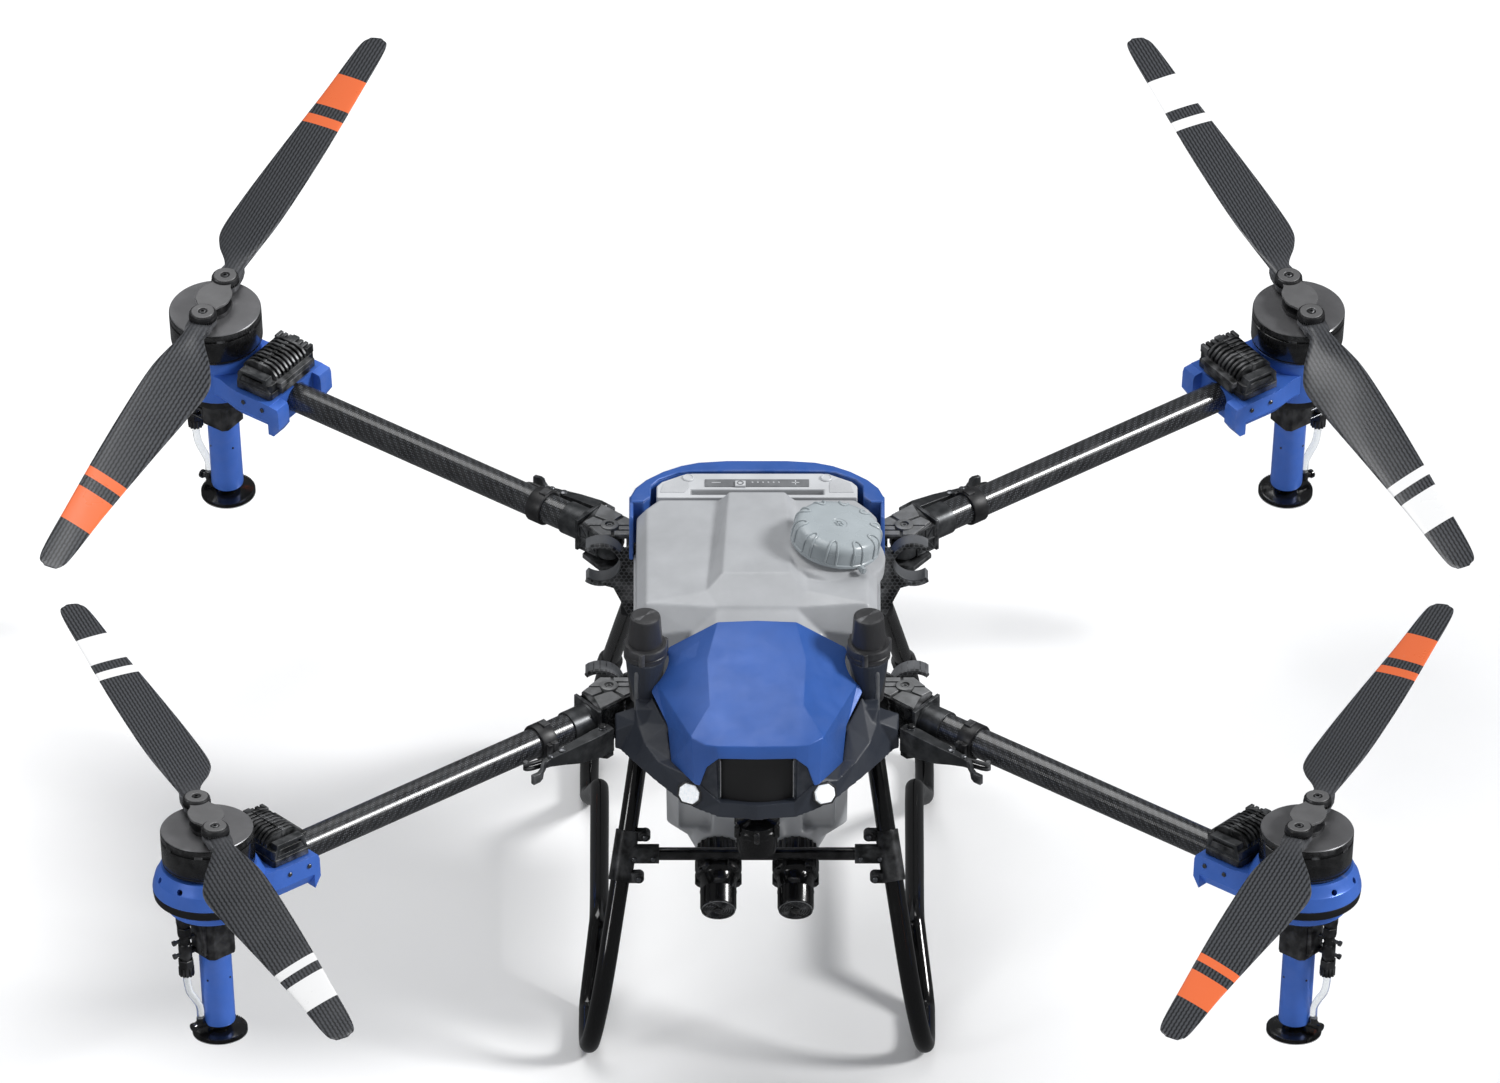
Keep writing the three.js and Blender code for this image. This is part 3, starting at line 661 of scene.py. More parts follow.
def fold_bracket(arm):
    """Upper plate with raised fields, lower plate, the pivot's bolt and the seat of the latch."""
    sign_x = 1 if arm.arm.translation.x > 0 else -1
    sign_y = 1 if arm.arm.translation.y > 0 else -1
    place = Matrix.Translation(arm.arm.translation) @ Matrix.Diagonal((sign_x, sign_y, 1, 1))
    outline = [(-33.8, -22), (13, -22), (36.5, 10), (12, 54), (-33.8, 13.5)]
    plates = Shape()
    plates.prism(outline, 20, 24.5)
    plates.prism(outline, -32, -25)
    plates.prism([(-33.8, -22), (-22, -22), (-22, 13), (-33.8, 13.5)], -30, 22)
    # the plates are painted dark so that the gaps between the grey fields show as shaded grooves
    piece(f"fold_plates_{arm.name}", plates, GROOVE_SHADE_CAST, "frame", place, bevel=1.0,
          stands_for=f"fold_bracket_{arm.name}")
    fields = Shape()
    fields.prism([(-33, -21), (-6, -21), (-6, -12), (-33, -12)], 24, 27)
    fields.prism([(-33, -9), (-12, -9), (-12, -1), (-33, -1)], 24, 27)
    fields.prism([(-33, 2), (-12, 2), (-8, 9), (-20, 21), (-33, 11)], 24, 27)
    fields.prism([(-4, 11), (4, 14), (20, 24), (11, 51), (-17, 26)], 24, 27)
    fields.prism([(12, 2), (28, 2), (34, 10), (22, 21), (9, 12)], 24, 27)
    fields.prism([(-2, -21), (12, -21), (27, -1), (12, -1), (6, -10), (-2, -12)], 24, 27)
    piece(f"fold_fields_{arm.name}", fields, GREY_CAST, "frame", place, bevel=0.8)
    bolt = Shape()
    bolt.lathe([(12, 24), (12, 29), (9, 30), (6.2, 30), (6.2, 26), (0, 26)], 36)
    bolt.lathe([(4.2, 25), (4.2, 28.5), (2.6, 28.5), (2.6, 26.5), (0, 26.5)], 6)
    bolt.lathe([(9, -37), (9, -31), (0, -31)], 6)
    piece(f"fold_bolt_{arm.name}", bolt, GREY_CAST, "frame", place, bevel=0.4)
    seat = Shape()
    seat.prism([(26, 22), (55, 26), (58, 50), (50, 60), (38, 58), (26, 40)], -36, -29)
    seat.rod((50, 50, -30), (50, 50, 11), 4)
    screw_head(seat, (50, 50, 9), UP, 5.5)
    arm.part("latch_seat", seat, BLACK_METAL, body="frame", bevel=0.6)


def knuckle(arm):
    """Ribbed block that turns in the bracket, its flange and the smooth collar of the tube."""
    core = Shape()
    core.prism([(-10, -11), (12, -14), (43, -14), (43, 32), (0, 32), (-10, 12)], -18, 18)
    core.rod((0, 0, -17.5), (0, 0, 17.5), 16.5)
    core.box((41.5, -16, -22), (46.5, 38, 25))
    core.rod((46, TUBE_OFFSET, 0), (80, TUBE_OFFSET, 0), 22.4, segments=48)
    core.rod((46, TUBE_OFFSET, 0), (50, TUBE_OFFSET, 0), 24, 23, segments=48)
    arm.part("knuckle", core, GREY_ARM, bevel=0.9, stands_for="arm_knuckle")
    ribs = Shape()
    for side, face in ((-1, -14), (1, 32)):
        out = face + side * 1.6
        low, high = sorted((face - side, out))
        for x in (10, 25, 39):
            ribs.box((x, low, -19), (x + 2.2, high, 19))
        for z in (-19, -1, 17):
            ribs.box((10, low, z), (41, high, z + 2))
        for start, end in (((11, -18), (40, 18)), ((11, 18), (40, -18))):
            ribs.rod((start[0], face, start[1]), (end[0], face, end[1]), 1.5, segments=8)
    arm.part("knuckle_ribs", ribs, GREY_ARM, bevel=0.3)


def arm_tube(arm):
    """Carbon tube from the knuckle into the motor mount, and the ring that its latch grips."""
    place = Matrix.Translation((0, TUBE_OFFSET, 0)) @ LIE_DOWN
    tube = Shape()
    start, reach, bore = 52.5, arm.length - 40, TUBE_RADIUS - 2
    tube.lathe(
        [(TUBE_RADIUS, start), (TUBE_RADIUS, reach), (bore, reach), (bore, start)], 64, closed=True)
    tube.transform(place)
    arm.part("tube", tube, TUBE_WEAVE_AND_SHEEN, bevel=0.3, stands_for="arm_tube")
    ring = Shape()
    ring.lathe([
        (19.9, 112), (23.2, 112), (24, 114), (24, 133), (23.2, 135), (19.9, 135),
    ], 48, closed=True)
    ring.transform(place)
    ring.box((116, 34, -9), (132, 41, 9))
    ring.rod((124, 38.5, -9), (124, 38.5, 11), 3.2)
    ring.box((113, 5, 21), (124, 19, 26))
    arm.part("tube_ring", ring, BLACK_PLASTIC, bevel=0.7)


def latch_lever(arm):
    """Tapered lever with a hook bar that grips the ring and a bent finger grip."""
    lever = Shape()
    stations = [
        (38, 45, 60, -28, 8), (62, 44, 62, -28, 8), (96, 45, 60, -24, 5),
        (122, 46, 57, -17, 2), (140, 47, 55, -13, 0), (150, 49, 56, -11, -1),
    ]
    lever.skin([
        [(x, y0, z0), (x, y1, z0), (x, y1, z1), (x, y0, z1)]
        for x, y0, y1, z0, z1 in stations
    ])
    grip = [(148, 52, -6), (156, 57, -7), (163, 64, -9), (170, 67, -10), (180, 66, -11)]
    lever.skin([
        [(x, y - 3.2, z - 7), (x, y + 3.2, z - 7), (x, y + 3.2, z + 7), (x, y - 3.2, z + 7)]
        for x, y, z in grip
    ])
    body = f"latch_{arm.name}"
    arm.part("latch_lever", lever, GREY_ARM, body=body, bevel=1.0,
             stands_for="latch_lever")
    hook = Shape()
    for wire in (
        [(136, 50, -4), (150, 47, -3), (164, 45.5, -2), (172, 43, -2), (171, 39, -2)],
        [(136, 50, -12), (150, 47, -11), (164, 45.5, -10), (172, 43, -9), (171, 39, -9)],
    ):
        hook.sweep(smooth_path(wire, 6), 3.0, 12)
    hook.rod((171, 40, -12), (171, 40, 1), 3.2)
    arm.part("latch_hook", hook, BLACK_METAL, body=body, bevel=0)
    pins = Shape()
    for x, y, z, radius in ((118, 51, 2.4, 5.0), (138, 51, 0.2, 4.0), (50, 50, 8, 6.0)):
        profile = [(radius, z - 3), (radius, z + 1.4), (radius * 0.7, z + 2.4), (0, z + 2.6)]
        pins.lathe(profile, 28, (x, y))
    arm.part("latch_pins", pins, SCREW, body=body, bevel=0)


# Motors ------------------------------------------------------------------------------------------

def motor_bell(arm):
    """Rotating can with a groove and raised blocks under its rim, and a turned lid."""
    bell = Shape()
    bell.lathe([
        (0, 40), (56, 40), (60, 41), (61.2, 44), (60.6, 45.5), (61.6, 47), (61.8, 78),
        (60.6, 78.6), (60.6, 81.4), (61.8, 82), (61.6, 88.4), (60.4, 89.4), (0, 89.4),
    ], 96)
    section = ((58, 78), (61.7, 78), (61.7, 82), (58, 82))
    for angle in around(8):
        start = angle + 0.2
        bell.skin([
            [(*polar(radius, start + 0.06 * step), z) for radius, z in section]
            for step in range(4)
        ])
    arm.part("motor_bell", bell, BLACK_GLOSS, "spin", f"rotor_{arm.name}", bevel=0,
             stands_for="rotor")
    lid = Shape()
    lid.lathe([(0, 89), (60.6, 89), (61.2, 89.6), (60.4, 90.6), (20, 90.6), (19, 91.4), (0, 91.4)], 96)
    arm.part("motor_lid", lid, MOTOR_LID, "spin", f"rotor_{arm.name}", bevel=0)


def hub_outline(grow=0.0):
    """Plate with a round middle, a round lobe at each bolt and a waist between them."""
    steps = 16
    lobe = []
    for k in range(steps + 1):
        x, y = polar(17 + grow, math.radians(-118 + 236 * k / steps))
        lobe.append((BLADE_BOLT + x, y))
    right = [(29, 13.2), (25, 13.4), (20, 16.4), (14, 20.8), (7, 22.8)]
    flank = [(x, y + grow) for x, y in right + [(-x, y) for x, y in reversed(right)]]
    half = lobe + flank
    return half + [(-x, -y) for x, y in half]


def propeller_hub(arm):
    """Two plates with a raised, dark-rimmed boss and a toothed washer at each blade bolt."""
    body = f"rotor_{arm.name}"
    plate = Shape()
    plate.prism(hub_outline(), 109.4, 113)
    for x in (-BLADE_BOLT, BLADE_BOLT):
        plate.lathe([
            (9.4, 113), (9.4, 115.2), (15.2, 115.2), (15.2, 116.6), (14.4, 117.2), (7, 117.2),
            (6.4, 116.6), (6.4, 114), (0, 114),
        ], 48, (x, 0))
    arm.part("hub_plate", plate, DARK_PLATE, "spin", body, bevel=0.5)
    under = Shape()
    under.prism(hub_outline(-1.5), 90.8, 96.6)
    under.rod((0, 0, 96), (0, 0, 110), 13)
    for x in (-BLADE_BOLT, BLADE_BOLT):
        under.rod((x, 0, 96), (x, 0, 110), 6.2)
        washer = Shape().toothed(18.8, 1.8, 40, 104.6, 109.5, 8.0)
        under.join(washer.transform(Matrix.Translation((x, 0, 0))))
        under.lathe([
            (0, 108), (18, 108), (18.2, 109), (18.2, 113.4), (17, 115.6), (0, 115.6),
        ], 48, (x, 0))
    arm.part("hub_core", under, BLACK_PLASTIC, "spin", body, bevel=0.25)
    screws = Shape()
    for x in (-BLADE_BOLT, BLADE_BOLT):
        screws.lathe([(4, 114), (4, 116.4), (3.2, 117), (2, 117), (2, 115), (0, 115)], 6, (x, 0))
    arm.part("hub_screws", screws, BLACK_METAL, "spin", body, bevel=0)


# Distance from the bolt, leading half-chord, trailing half-chord, half-thickness, pitch in degrees.
BLADE_STATIONS = [
    (9, 12, 12, 4.8, 0), (42, 14, 18, 4.8, 6), (85, 21, 44, 4.0, 14), (125, 26, 58, 3.6, 16),
    (190, 28, 54, 3.0, 14), (300, 28, 42, 2.5, 11), (430, 25, 28, 2.0, 9), (535, 21, 19, 1.5, 7),
    (BLADE_LENGTH, 8, 10, 1.2, 7),
]


def blade_section(station, points=14):
    """A flat-bottomed aerofoil outline, turned by the blade's pitch."""
    along, lead, trail, half, pitch = station
    outline = []
    for k in range(2 * points):
        angle = math.pi * k / points
        y = (lead + trail) / 2 * math.cos(angle) + (lead - trail) / 2
        fullness = abs(math.sin(angle)) ** 0.8
        z = half * fullness * (1.0 if angle < math.pi else -0.7)
        outline.append((y, z))
    cos, sin = polar(1.0, math.radians(pitch))
    return [(along, y * cos - z * sin, y * sin + z * cos) for y, z in outline]


def blade(arm, letter, turn):
    """One blade with painted bands, and the thicker pad round its bolt."""
    body = f"blade_{letter}_{arm.name}"
    place = arm.spin @ Matrix.Rotation(turn, 4, "Z") @ Matrix.Translation((BLADE_BOLT, 0, BLADE_LEVEL))
    striped = BLADE_ORANGE if arm.name in ("rear_left", "front_right") else BLADE_WHITE
    stations = smooth_path([Vector(s[:3]) for s in BLADE_STATIONS], 8)
    depths = smooth_path([Vector((s[3], s[4], 0)) for s in BLADE_STATIONS], 8)
    skin = Shape()
    skin.skin([blade_section((s.x, s.y, s.z, d.x, d.y)) for s, d in zip(stations, depths)])
    skin.flat_uv()
    piece(f"blade_{letter}_{arm.name}_skin", skin, striped, body, place, bevel=0,
          stands_for=f"blade_{letter}_{arm.name}", crease=50)
    root = Shape()
    arc = [polar(18.2, math.radians(a)) for a in range(70, 291, 10)]
    outline = arc + [(22, -17.2), (34, -15), (44, -9), (48, 0), (44, 9), (34, 14), (22, 16.6)]
    root.prism(outline, -5.6, 1.8)
    root.rod((35, 3, 1.6), (35, 3, 2.0), 1.6, segments=16)
    root.flat_uv()
    piece(f"blade_{letter}_{arm.name}_root", root, striped, body, place, bevel=1.6)


def motor_mount(arm):
    """Coated clamp housing around the tube's end, and the round seat under the motor."""
    wide = 57
    housing = Shape()
    stations = [
        (-133, wide, 20), (-78, wide, 20), (-62, 55, 21), (-44, 50, 22), (-26, 50, 22), (0, 46, 22),
    ]
    housing.skin([
        [(x, y, z) for y, z in (
            (-w, top), (-w, -8), (-w + 12, -25), (w - 12, -25), (w, -8), (w, top))]
        for x, w, top in stations
    ])
    reach = -138 if arm.front else -147
    wing = [(-128, 20), (reach + 2, 18), (reach, 12), (reach, -14), (reach + 10, -29), (-128, -29)]
    for side in (-1, 1):
        housing.slab(wing, side * 34, side * wide)
    housing.lathe([(0, -26), (57, -26), (59, -24), (59, 30), (57, 38.5), (0, 38.5)], 72)
    bore = Shape().rod((-150, 0, 0), (-60, 0, 0), 20.4, segments=48)
    carve(housing, bore)
    arm.part("mount_housing", housing, BLUE, "motor", bevel=1.4, stands_for="motor_mount")
    screws = Shape()
    for x in (-120, -88):
        for side in (-1, 1):
            screw_head(screws, (x, side * (wide - 0.5), 8), (0, side, 0), 3.2)
    arm.part("mount_screws", screws, SCREW, "motor", bevel=0)
    if arm.front:
        front_skirt(arm)
    else:
        cup = Shape()
        cup.lathe([(40, -44), (50, -42), (52, -38), (53, -25), (0, -25)], 64)
        arm.part("motor_cup", cup, BLACK_PLASTIC, "motor", bevel=0.6)


def front_skirt(arm):
    """Flared shell under each front motor, with drilled holes, a black ring and a thin rim."""
    skirt = Shape()
    skirt.lathe([
        (56, 38.6), (63.4, 38.6), (66.5, 33), (70.5, 25), (72, 23.4), (75.6, 11), (76.2, 6.4),
        (75.4, 5), (56, 5),
    ], 96, closed=True)
    holes = Shape()
    for angle in around(10, 0.5):
        out = Vector((*polar(1.0, angle), 0))
        holes.rod(out * 58 + UP * 22, out * 82 + UP * 34, 4.2, segments=20)
    carve(skirt, holes)
    arm.part("skirt", skirt, BLUE, "motor", bevel=0.5, crease=25)
    ring = Shape()
    ring.lathe([(56, 5.2), (75.4, 5.2), (76, 2), (75, -6), (72, -9), (56, -9)], 96, closed=True)
    ring.lathe([(0, 12), (62.5, 12), (62.5, 36), (0, 36)], 64)
    arm.part("skirt_ring", ring, BLACK_PLASTIC, "motor", bevel=0.5)
    rim = Shape()
    rim.lathe([(40, -8.8), (67, -8.8), (66, -12), (40, -14)], 96, closed=True)
    arm.part("skirt_rim", rim, BLUE, "motor", bevel=0.5)


def speed_controller(arm):
    """Finned box beside the motor. Its framed end points towards the nose."""
    nose = 1 if arm.front else -1
    case = Shape()
    for inset, bottom, top in ((0, 21, 31), (1, 31, 44)):
        x0, x1, y = -129 + inset, -69 - inset, 49 - inset
        case.prism([
            (x0, 4 - y), (x0 + 3, -y), (x1 - 3, -y), (x1, 4 - y),
            (x1, y - 4), (x1 - 3, y), (x0 + 3, y), (x0, y - 4),
        ], bottom, top)
    arm.part("controller_case", case, BLACK_METAL, "motor", bevel=0.9, stands_for="speed_controller")
    fins = Shape()
    profile = [
        (-127, 43), (-127, 50), (-121, 57), (-112, 61), (-86, 61), (-77, 57), (-71, 50), (-71, 43),
    ]
    pitch = 7.6  # between fins
    for k in range(9):
        y = nose * (30 - pitch * k)
        fins.slab(profile, y - 2, y + 2)
        fins.box((-103, y - 2.6, 45), (-97, y + 2.6, 62.2))
    far = -nose * 41
    for x in (-124, -116, -108, -90, -82, -74):
        fins.box((x - 2.6, far - 7, 43), (x + 2.6, far + 7, 55))
    arm.part("controller_fins", fins, BLACK_METAL, "motor", bevel=0.7)
    pad = Shape()
    pad.box((-104, far - 7, 43), (-94, far + 7, 57.5))
    arm.part("controller_pad", pad, GREY_ARM, "motor", bevel=0.6)
    cap = Shape()
    face = nose * 48.4
    cap.slab([(-127, 31), (-71, 31), (-77, 52), (-121, 52)], face - nose * 14, face)
    recess = Shape()
    recess.slab([(-120, 36), (-78, 36), (-83, 48), (-115, 48)], face - nose * 3, face + nose * 3)
    carve(cap, recess)
    arm.part("controller_end", cap, GREY_ARM, "motor", bevel=0.6)
    bar = Shape()
    bar.box((-136, -34, 36), (-128, 34, 44))
    bar.box((-134, -30, 24), (-128, 30, 34))
    arm.part("controller_bar", bar, BLACK_METAL, "motor", bevel=0.8)


# Nozzles -----------------------------------------------------------------------------------------

DISC_RADIUS = 36.5
DISC_LEVEL = -217.5  # these levels are measured from the arm axis
HOLDER_TOP = -25
HOLDER_BOTTOM = -97
BARREL_RADIUS = 21.4
BARREL_BOTTOM = -203
COLUMN = (42.0, -8.0)  # valve column, from the nozzle's axis


def nozzle(arm):
    """Holder under the motor, coated barrel with its neck, valve column, and the spray disc."""
    holder = Shape()
    holder.prism([
        (-22, -16), (-16, -22), (16, -22), (22, -16), (22, 16), (16, 22), (-16, 22), (-22, 16),
    ], HOLDER_BOTTOM, HOLDER_TOP)
    holder.box((18, -14, HOLDER_BOTTOM + 7), (27, 14, HOLDER_TOP - 5))
    for z in (-84, -40):
        for y in (-9, 9):
            screw_head(holder, (26.6, y, z), (1, 0, 0), 2.0)
    arm.part("nozzle_holder", holder, BLACK_PLASTIC, "motor", bevel=1.2, stands_for="nozzle_body")
    barrel = Shape()
    start, end = HOLDER_BOTTOM + 1, BARREL_BOTTOM
    barrel.lathe([
        (0, start), (BARREL_RADIUS, start), (BARREL_RADIUS, end + 3), (BARREL_RADIUS - 0.8, end),
        (14, end - 0.6), (0, end - 0.6),
    ], 64)
    arm.part("nozzle_barrel", barrel, BLUE, "motor", bevel=0.3)
    studs = Shape()
    for angle in (20, 110, 200, 290):
        out = Vector((*polar(1.0, math.radians(angle)), 0))
        screw_head(studs, out * 21 + UP * -132, out, 1.5)
    arm.part("nozzle_studs", studs, BLACK_METAL, "motor", bevel=0)
    neck = Shape()
    neck.lathe([
        (0, end), (15, end), (15, end - 2.4), (11.5, end - 3.4), (11.5, end - 5), (13.4, end - 6),
        (0, end - 6),
    ], 48)
    arm.part("nozzle_neck", neck, BLACK_GLOSS, "motor", bevel=0)
    valve_column(arm)
    disc = Shape()
    disc.toothed(DISC_RADIUS, 2.0, 64, DISC_LEVEL - 3.3, DISC_LEVEL + 3.3, 20)
    disc.lathe([(radius, DISC_LEVEL + rise) for radius, rise in (
        (0, -4.5), (31, -4.5), (33.5, -3.1), (34.6, -0.5), (34.6, 3.1), (31, 4.1), (18, 5.1),
        (14, 7.5), (0, 7.5),
    )], 72)
    arm.part("spray_wheel", disc, BLACK_GLOSS, "motor", f"spray_disc_{arm.name}", bevel=0.2,
             stands_for="spray_disc")


def valve_column(arm):
    """Hexagon fittings and a valve beside the holder, and the clear hose down to the disc."""
    x, y = COLUMN
    column = Shape()
    column.lathe([(6, -24), (6, -31), (0, -31)], 24, COLUMN)
    for low, high, radius in ((-44, -32, 11), (-60, -47, 10), (-108, -96, 11)):
        nut = [(radius - 1, low), (radius, low + 1), (radius, high - 1), (radius - 1, high)]
        column.lathe(nut, 6, COLUMN)
    column.lathe([(7, -98), (7, -42)], 24, COLUMN)
    column.lathe([(9, -92), (9, -74), (7.5, -72), (7.5, -66)], 24, COLUMN)
    for rib in circle(8.6, 12, centre=COLUMN):
        column.rod(rib - UP * 120, rib - UP * 107, 2, segments=8)
    column.lathe([(8.4, -120), (8.4, -107)], 24, COLUMN)
    for z in (-66, -86):
        column.rod((x, y, z), (x + 15, y - 3, z - 2), 2.6, segments=16)
        column.rod((x + 13, y - 3, z - 2), (x + 17, y - 3.4, z - 2.4), 3.8, segments=16)
        column.box((22, y - 4, z - 2), (x, y + 4, z + 2))
    arm.part("valve_column", column, BLACK_PLASTIC, "motor", bevel=0.4)
    pins = Shape()
    for z in (-70, -82, -96):
        pins.rod((22, y - 7, z), (x, y - 7, z), 1.3, segments=12)
    arm.part("valve_pins", pins, SCREW, "motor", bevel=0)
    hose = Shape()
    path = smooth_path([(x, y, -118), (x, y, -132), (x - 3, y, -148), (x - 11, y + 1, -163),
                        (x - 16, y + 2, -176), (x - 16, y + 2, -194)], 6)
    hose.sweep(path, 5.0, 20)
    arm.part("clear_hose", hose, HOSE, "motor", bevel=0)
    elbow = Shape()
    elbow.rod((x - 16, y + 2, -192), (x - 16, y + 2, -205), 5.6)
    elbow.rod((x - 6, y + 2, -202), (8, 0, -202), 4.2)
    elbow.rod((x - 6, y + 2, -202), (x - 2, y + 2.4, -202), 6)
    arm.part("hose_elbow", elbow, BLACK_GLOSS, "motor", bevel=0.3)


for arm_name in ARM_NAMES:
    one = Arm(arm_name)
    fold_bracket(one)
    knuckle(one)
    arm_tube(one)
    latch_lever(one)
    motor_bell(one)
    propeller_hub(one)
    blade(one, "a", 0.0)
    blade(one, "b", math.pi)
    motor_mount(one)
    speed_controller(one)
    nozzle(one)


# Centre body -------------------------------------------------------------------------------------

TANK_DECK = 565.0
CAP_AXIS = Vector(JOINTS["tank_cap_turn"]["axis"])
CAP_PLACE = Matrix.Translation(Vector(JOINTS["tank_cap_turn"]["pos_m"]) / MM) @ UP.rotation_difference(
    CAP_AXIS).to_matrix().to_4x4()


def pump_place(side):
    """Frame of a pump: z runs along its axis, forwards and down."""
    slope = math.radians(24)  # below the horizon
    return Matrix.Translation((side * 51, -236, 258)) @ Matrix.Rotation(math.pi / 2 + slope, 4, "X")


def main_frame():
    """The frame's rails keep their CAD mesh."""
    node = frame["nodes"]["main_frame"]
    node.data.materials.clear()
    node.data.materials.append(BLACK_PLASTIC)
    softened = node.modifiers.new("rounded_edges", "BEVEL")
    softened.width = 1.0 * MM
    softened.segments = 2
    softened.limit_method = "ANGLE"


def tank():
    """Blow-moulded tank: wide shoulders, a raised spine, a dished front and a narrow sump."""
    high = corners("tank")[1]
    rear, wide, deck = high.y, high.x, TANK_DECK
    ridge = deck + 14
    shape = Shape()
    spine = [
        (37, rear - 4, ridge), (49, rear - 1, deck), (45, -57, ridge), (28, -49, ridge),
        (67, -80, deck), (52, -104, deck - 9), (52, -110, 430), (67, -80, 430), (49, rear - 2, 430),
    ]
    shoulder = [
        (49, rear - 1, deck), (67, -80, deck), (146, -108, deck), (146, rear - 24, deck),
        (128, rear, deck - 1), (wide - 3, rear - 22, deck - 16), (wide - 3, -106, deck - 16),
        (138, rear, deck - 16), (52, -104, deck - 9), (88, -127, deck - 32), (150, -134, deck - 36),
        (wide - 2, -124, deck - 50), (wide, rear - 20, 428), (wide - 20, rear, 428),
        (wide, -124, 428), (wide - 12, -132, 428), (40, -126, 428), (40, rear - 2, 428),
    ]
    dished_front = [
        (52, -104, deck - 10), (86, -126, deck - 34), (117, -128, 440), (60, -176, 520),
        (109, -170, 470), (100, -226, 460), (100, -226, 425), (117, -128, 425), (50, -90, 425),
    ]
    sump = [
        (121, rear - 30, 432), (121, -210, 432), (105, -228, 432), (119, rear - 32, 284),
        (84, rear - 50, 266), (119, -208, 284), (104, -227, 286), (82, -222, 266), (82, -200, 262),
    ]
    shape.hull(both(spine))
    for side in (-1, 1):
        shape.hull(sided(side, shoulder))
    shape.hull(both(dished_front))
    shape.hull(both(sump))
    neck = [(0, -34), (72, -34), (70, -12), (62, -8), (54, -3.6), (53, -1.2), (0, -1.2)]
    shape.join(Shape().lathe(neck, 64).transform(CAP_PLACE))
    panels = Shape()
    for side in (-1, 1):
        place = pump_place(side)
        shape.rod(place @ Vector((0, 0, -34)), place @ Vector((0, 0, -4)), 44, 29, 48)
        near, far = sorted((side * 60, side * 102))
        panels.box((near, -240, 288), (far, -221, 410))
    carve(shape, panels)
    mould(shape, 2.2, 5)
    piece("tank_shell", shape, TANK, "frame", bevel=0, stands_for="tank", crease=0)
    seam = Shape()
    seam.prism([
        (-163, -118), (163, -118), (163, 112), (143, 134), (-143, 134), (-163, 112),
    ], 494, 496)
    piece("tank_seam", seam, TANK, "frame", bevel=0.8)


def tank_cap():
    """Screw cap with hooped ribs that run over its edge."""
    body = Shape()
    body.lathe([
        (0, 0.5), (56, 0.5), (58, 0), (60.2, 0.6), (60.2, 4), (58.6, 5.4), (58.2, 20), (57.4, 25),
        (54.4, 29), (49, 31.4), (42, 32.2), (14, 32.8), (11, 32.6), (10, 31.6), (0, 31.6),
    ], 96)
    half_hoop = [
        (58.2, -7, 4), (58.4, -7, 16), (57.4, -6.6, 24), (53, -5.6, 30), (47, -4, 32), (43.4, 0, 32.4),
    ]
    hoop = half_hoop + [(x, -y, z) for x, y, z in reversed(half_hoop[:-1])]
    pad = [(58.8, -5, 5), (58.8, 5, 5), (58.2, 4.6, 20), (58.2, -4.6, 20)]
    for angle in around(10, 0.3):
        turn = Matrix.Rotation(angle, 4, "Z")
        body.sweep([turn @ p for p in smooth_path(hoop, 4)], 1.7, 10)
        body.skin([[turn @ Vector((x + shift, y, z)) for x, y, z in pad] for shift in (-4, 0.4)])
    for dot in circle(4.6, 6):
        body.rod(dot + UP * 31, dot + UP * 33.4, 1.5, segments=12)
    body.rod((0, 0, 31), (0, 0, 33), 2)
    piece("cap_body", body, CAP, "tank_cap", CAP_PLACE, bevel=0.4, stands_for="tank_cap")
    lug = Shape()
    lug.rod((34, -54, 3), (38, -61, 3), 4.5)
    lug.rod((37, -60, 0.4), (37, -60, 8), 2.5)
    piece("cap_lug", lug, CAP, "tank_cap", CAP_PLACE, bevel=0.5)


def battery():
    """Slab with a grip slot, a display strip with lamps, two bosses and two rough pads."""
    low, high = corners("battery")
    top = 560.0
    outline = [
        (-133, low.y), (133, low.y), (133, 174), (126, 184), (98, 201), (86, high.y),
        (-86, high.y), (-98, 201), (-126, 184), (-133, 174),
    ]
    case = Shape()
    case.prism(outline, low.z, top)
    carve(case, Shape().box((-88, low.y + 6, 538), (88, low.y + 19, 570)))
    piece("battery_case", case, BATTERY, "battery", bevel=2.4, stands_for="battery")
    handle = Shape()
    handle.box((-87.6, low.y + 6.4, 530), (87.6, low.y + 18.6, 546))
    piece("battery_handle", handle, BLACK_PLASTIC, "battery", bevel=1.5)
    strip = Shape()
    strip.prism([(-69, 171), (69, 171), (69, 188), (-69, 188)], top - 2, top + 1.2)
    piece("battery_display", strip, DISPLAY, "battery", bevel=0.6)
    lights = Shape()
    for k in range(6):
        lights.lathe([(1.2, top), (1.2, top + 1.8), (0, top + 2)], 20, (-6 + 7 * k, 180))
    lights.box((-60, 179, top), (-48, 180.4, top + 1.6))
    lights.box((46, 179, top), (56, 180.4, top + 1.6))
    lights.box((50.3, 175, top), (51.7, 185, top + 1.6))
    piece("battery_lights", lights, BATTERY, "battery", bevel=0)
    bosses = Shape()
    for x in (-91, 92):
        bosses.lathe([
            (8, top - 2), (8, top + 1.6), (7, top + 2.6), (6, top + 2.6), (5.4, top + 1.8), (0, top + 1.8),
        ], 40, (x, 191))
    piece("battery_bosses", bosses, BATTERY, "battery", bevel=0)
    pads = Shape()
    for outline in (
        [(-128, 158), (-96, 158), (-90, 170), (-90, 182), (-104, 194), (-124, 178)],
        [(128, 158), (96, 158), (96, 170), (96, 182), (108, 192), (124, 178)],
    ):
        pads.prism(outline, top - 1, top + 0.8)
    piece("battery_pads", pads, ROUGH_PAD, "battery", bevel=0.4)


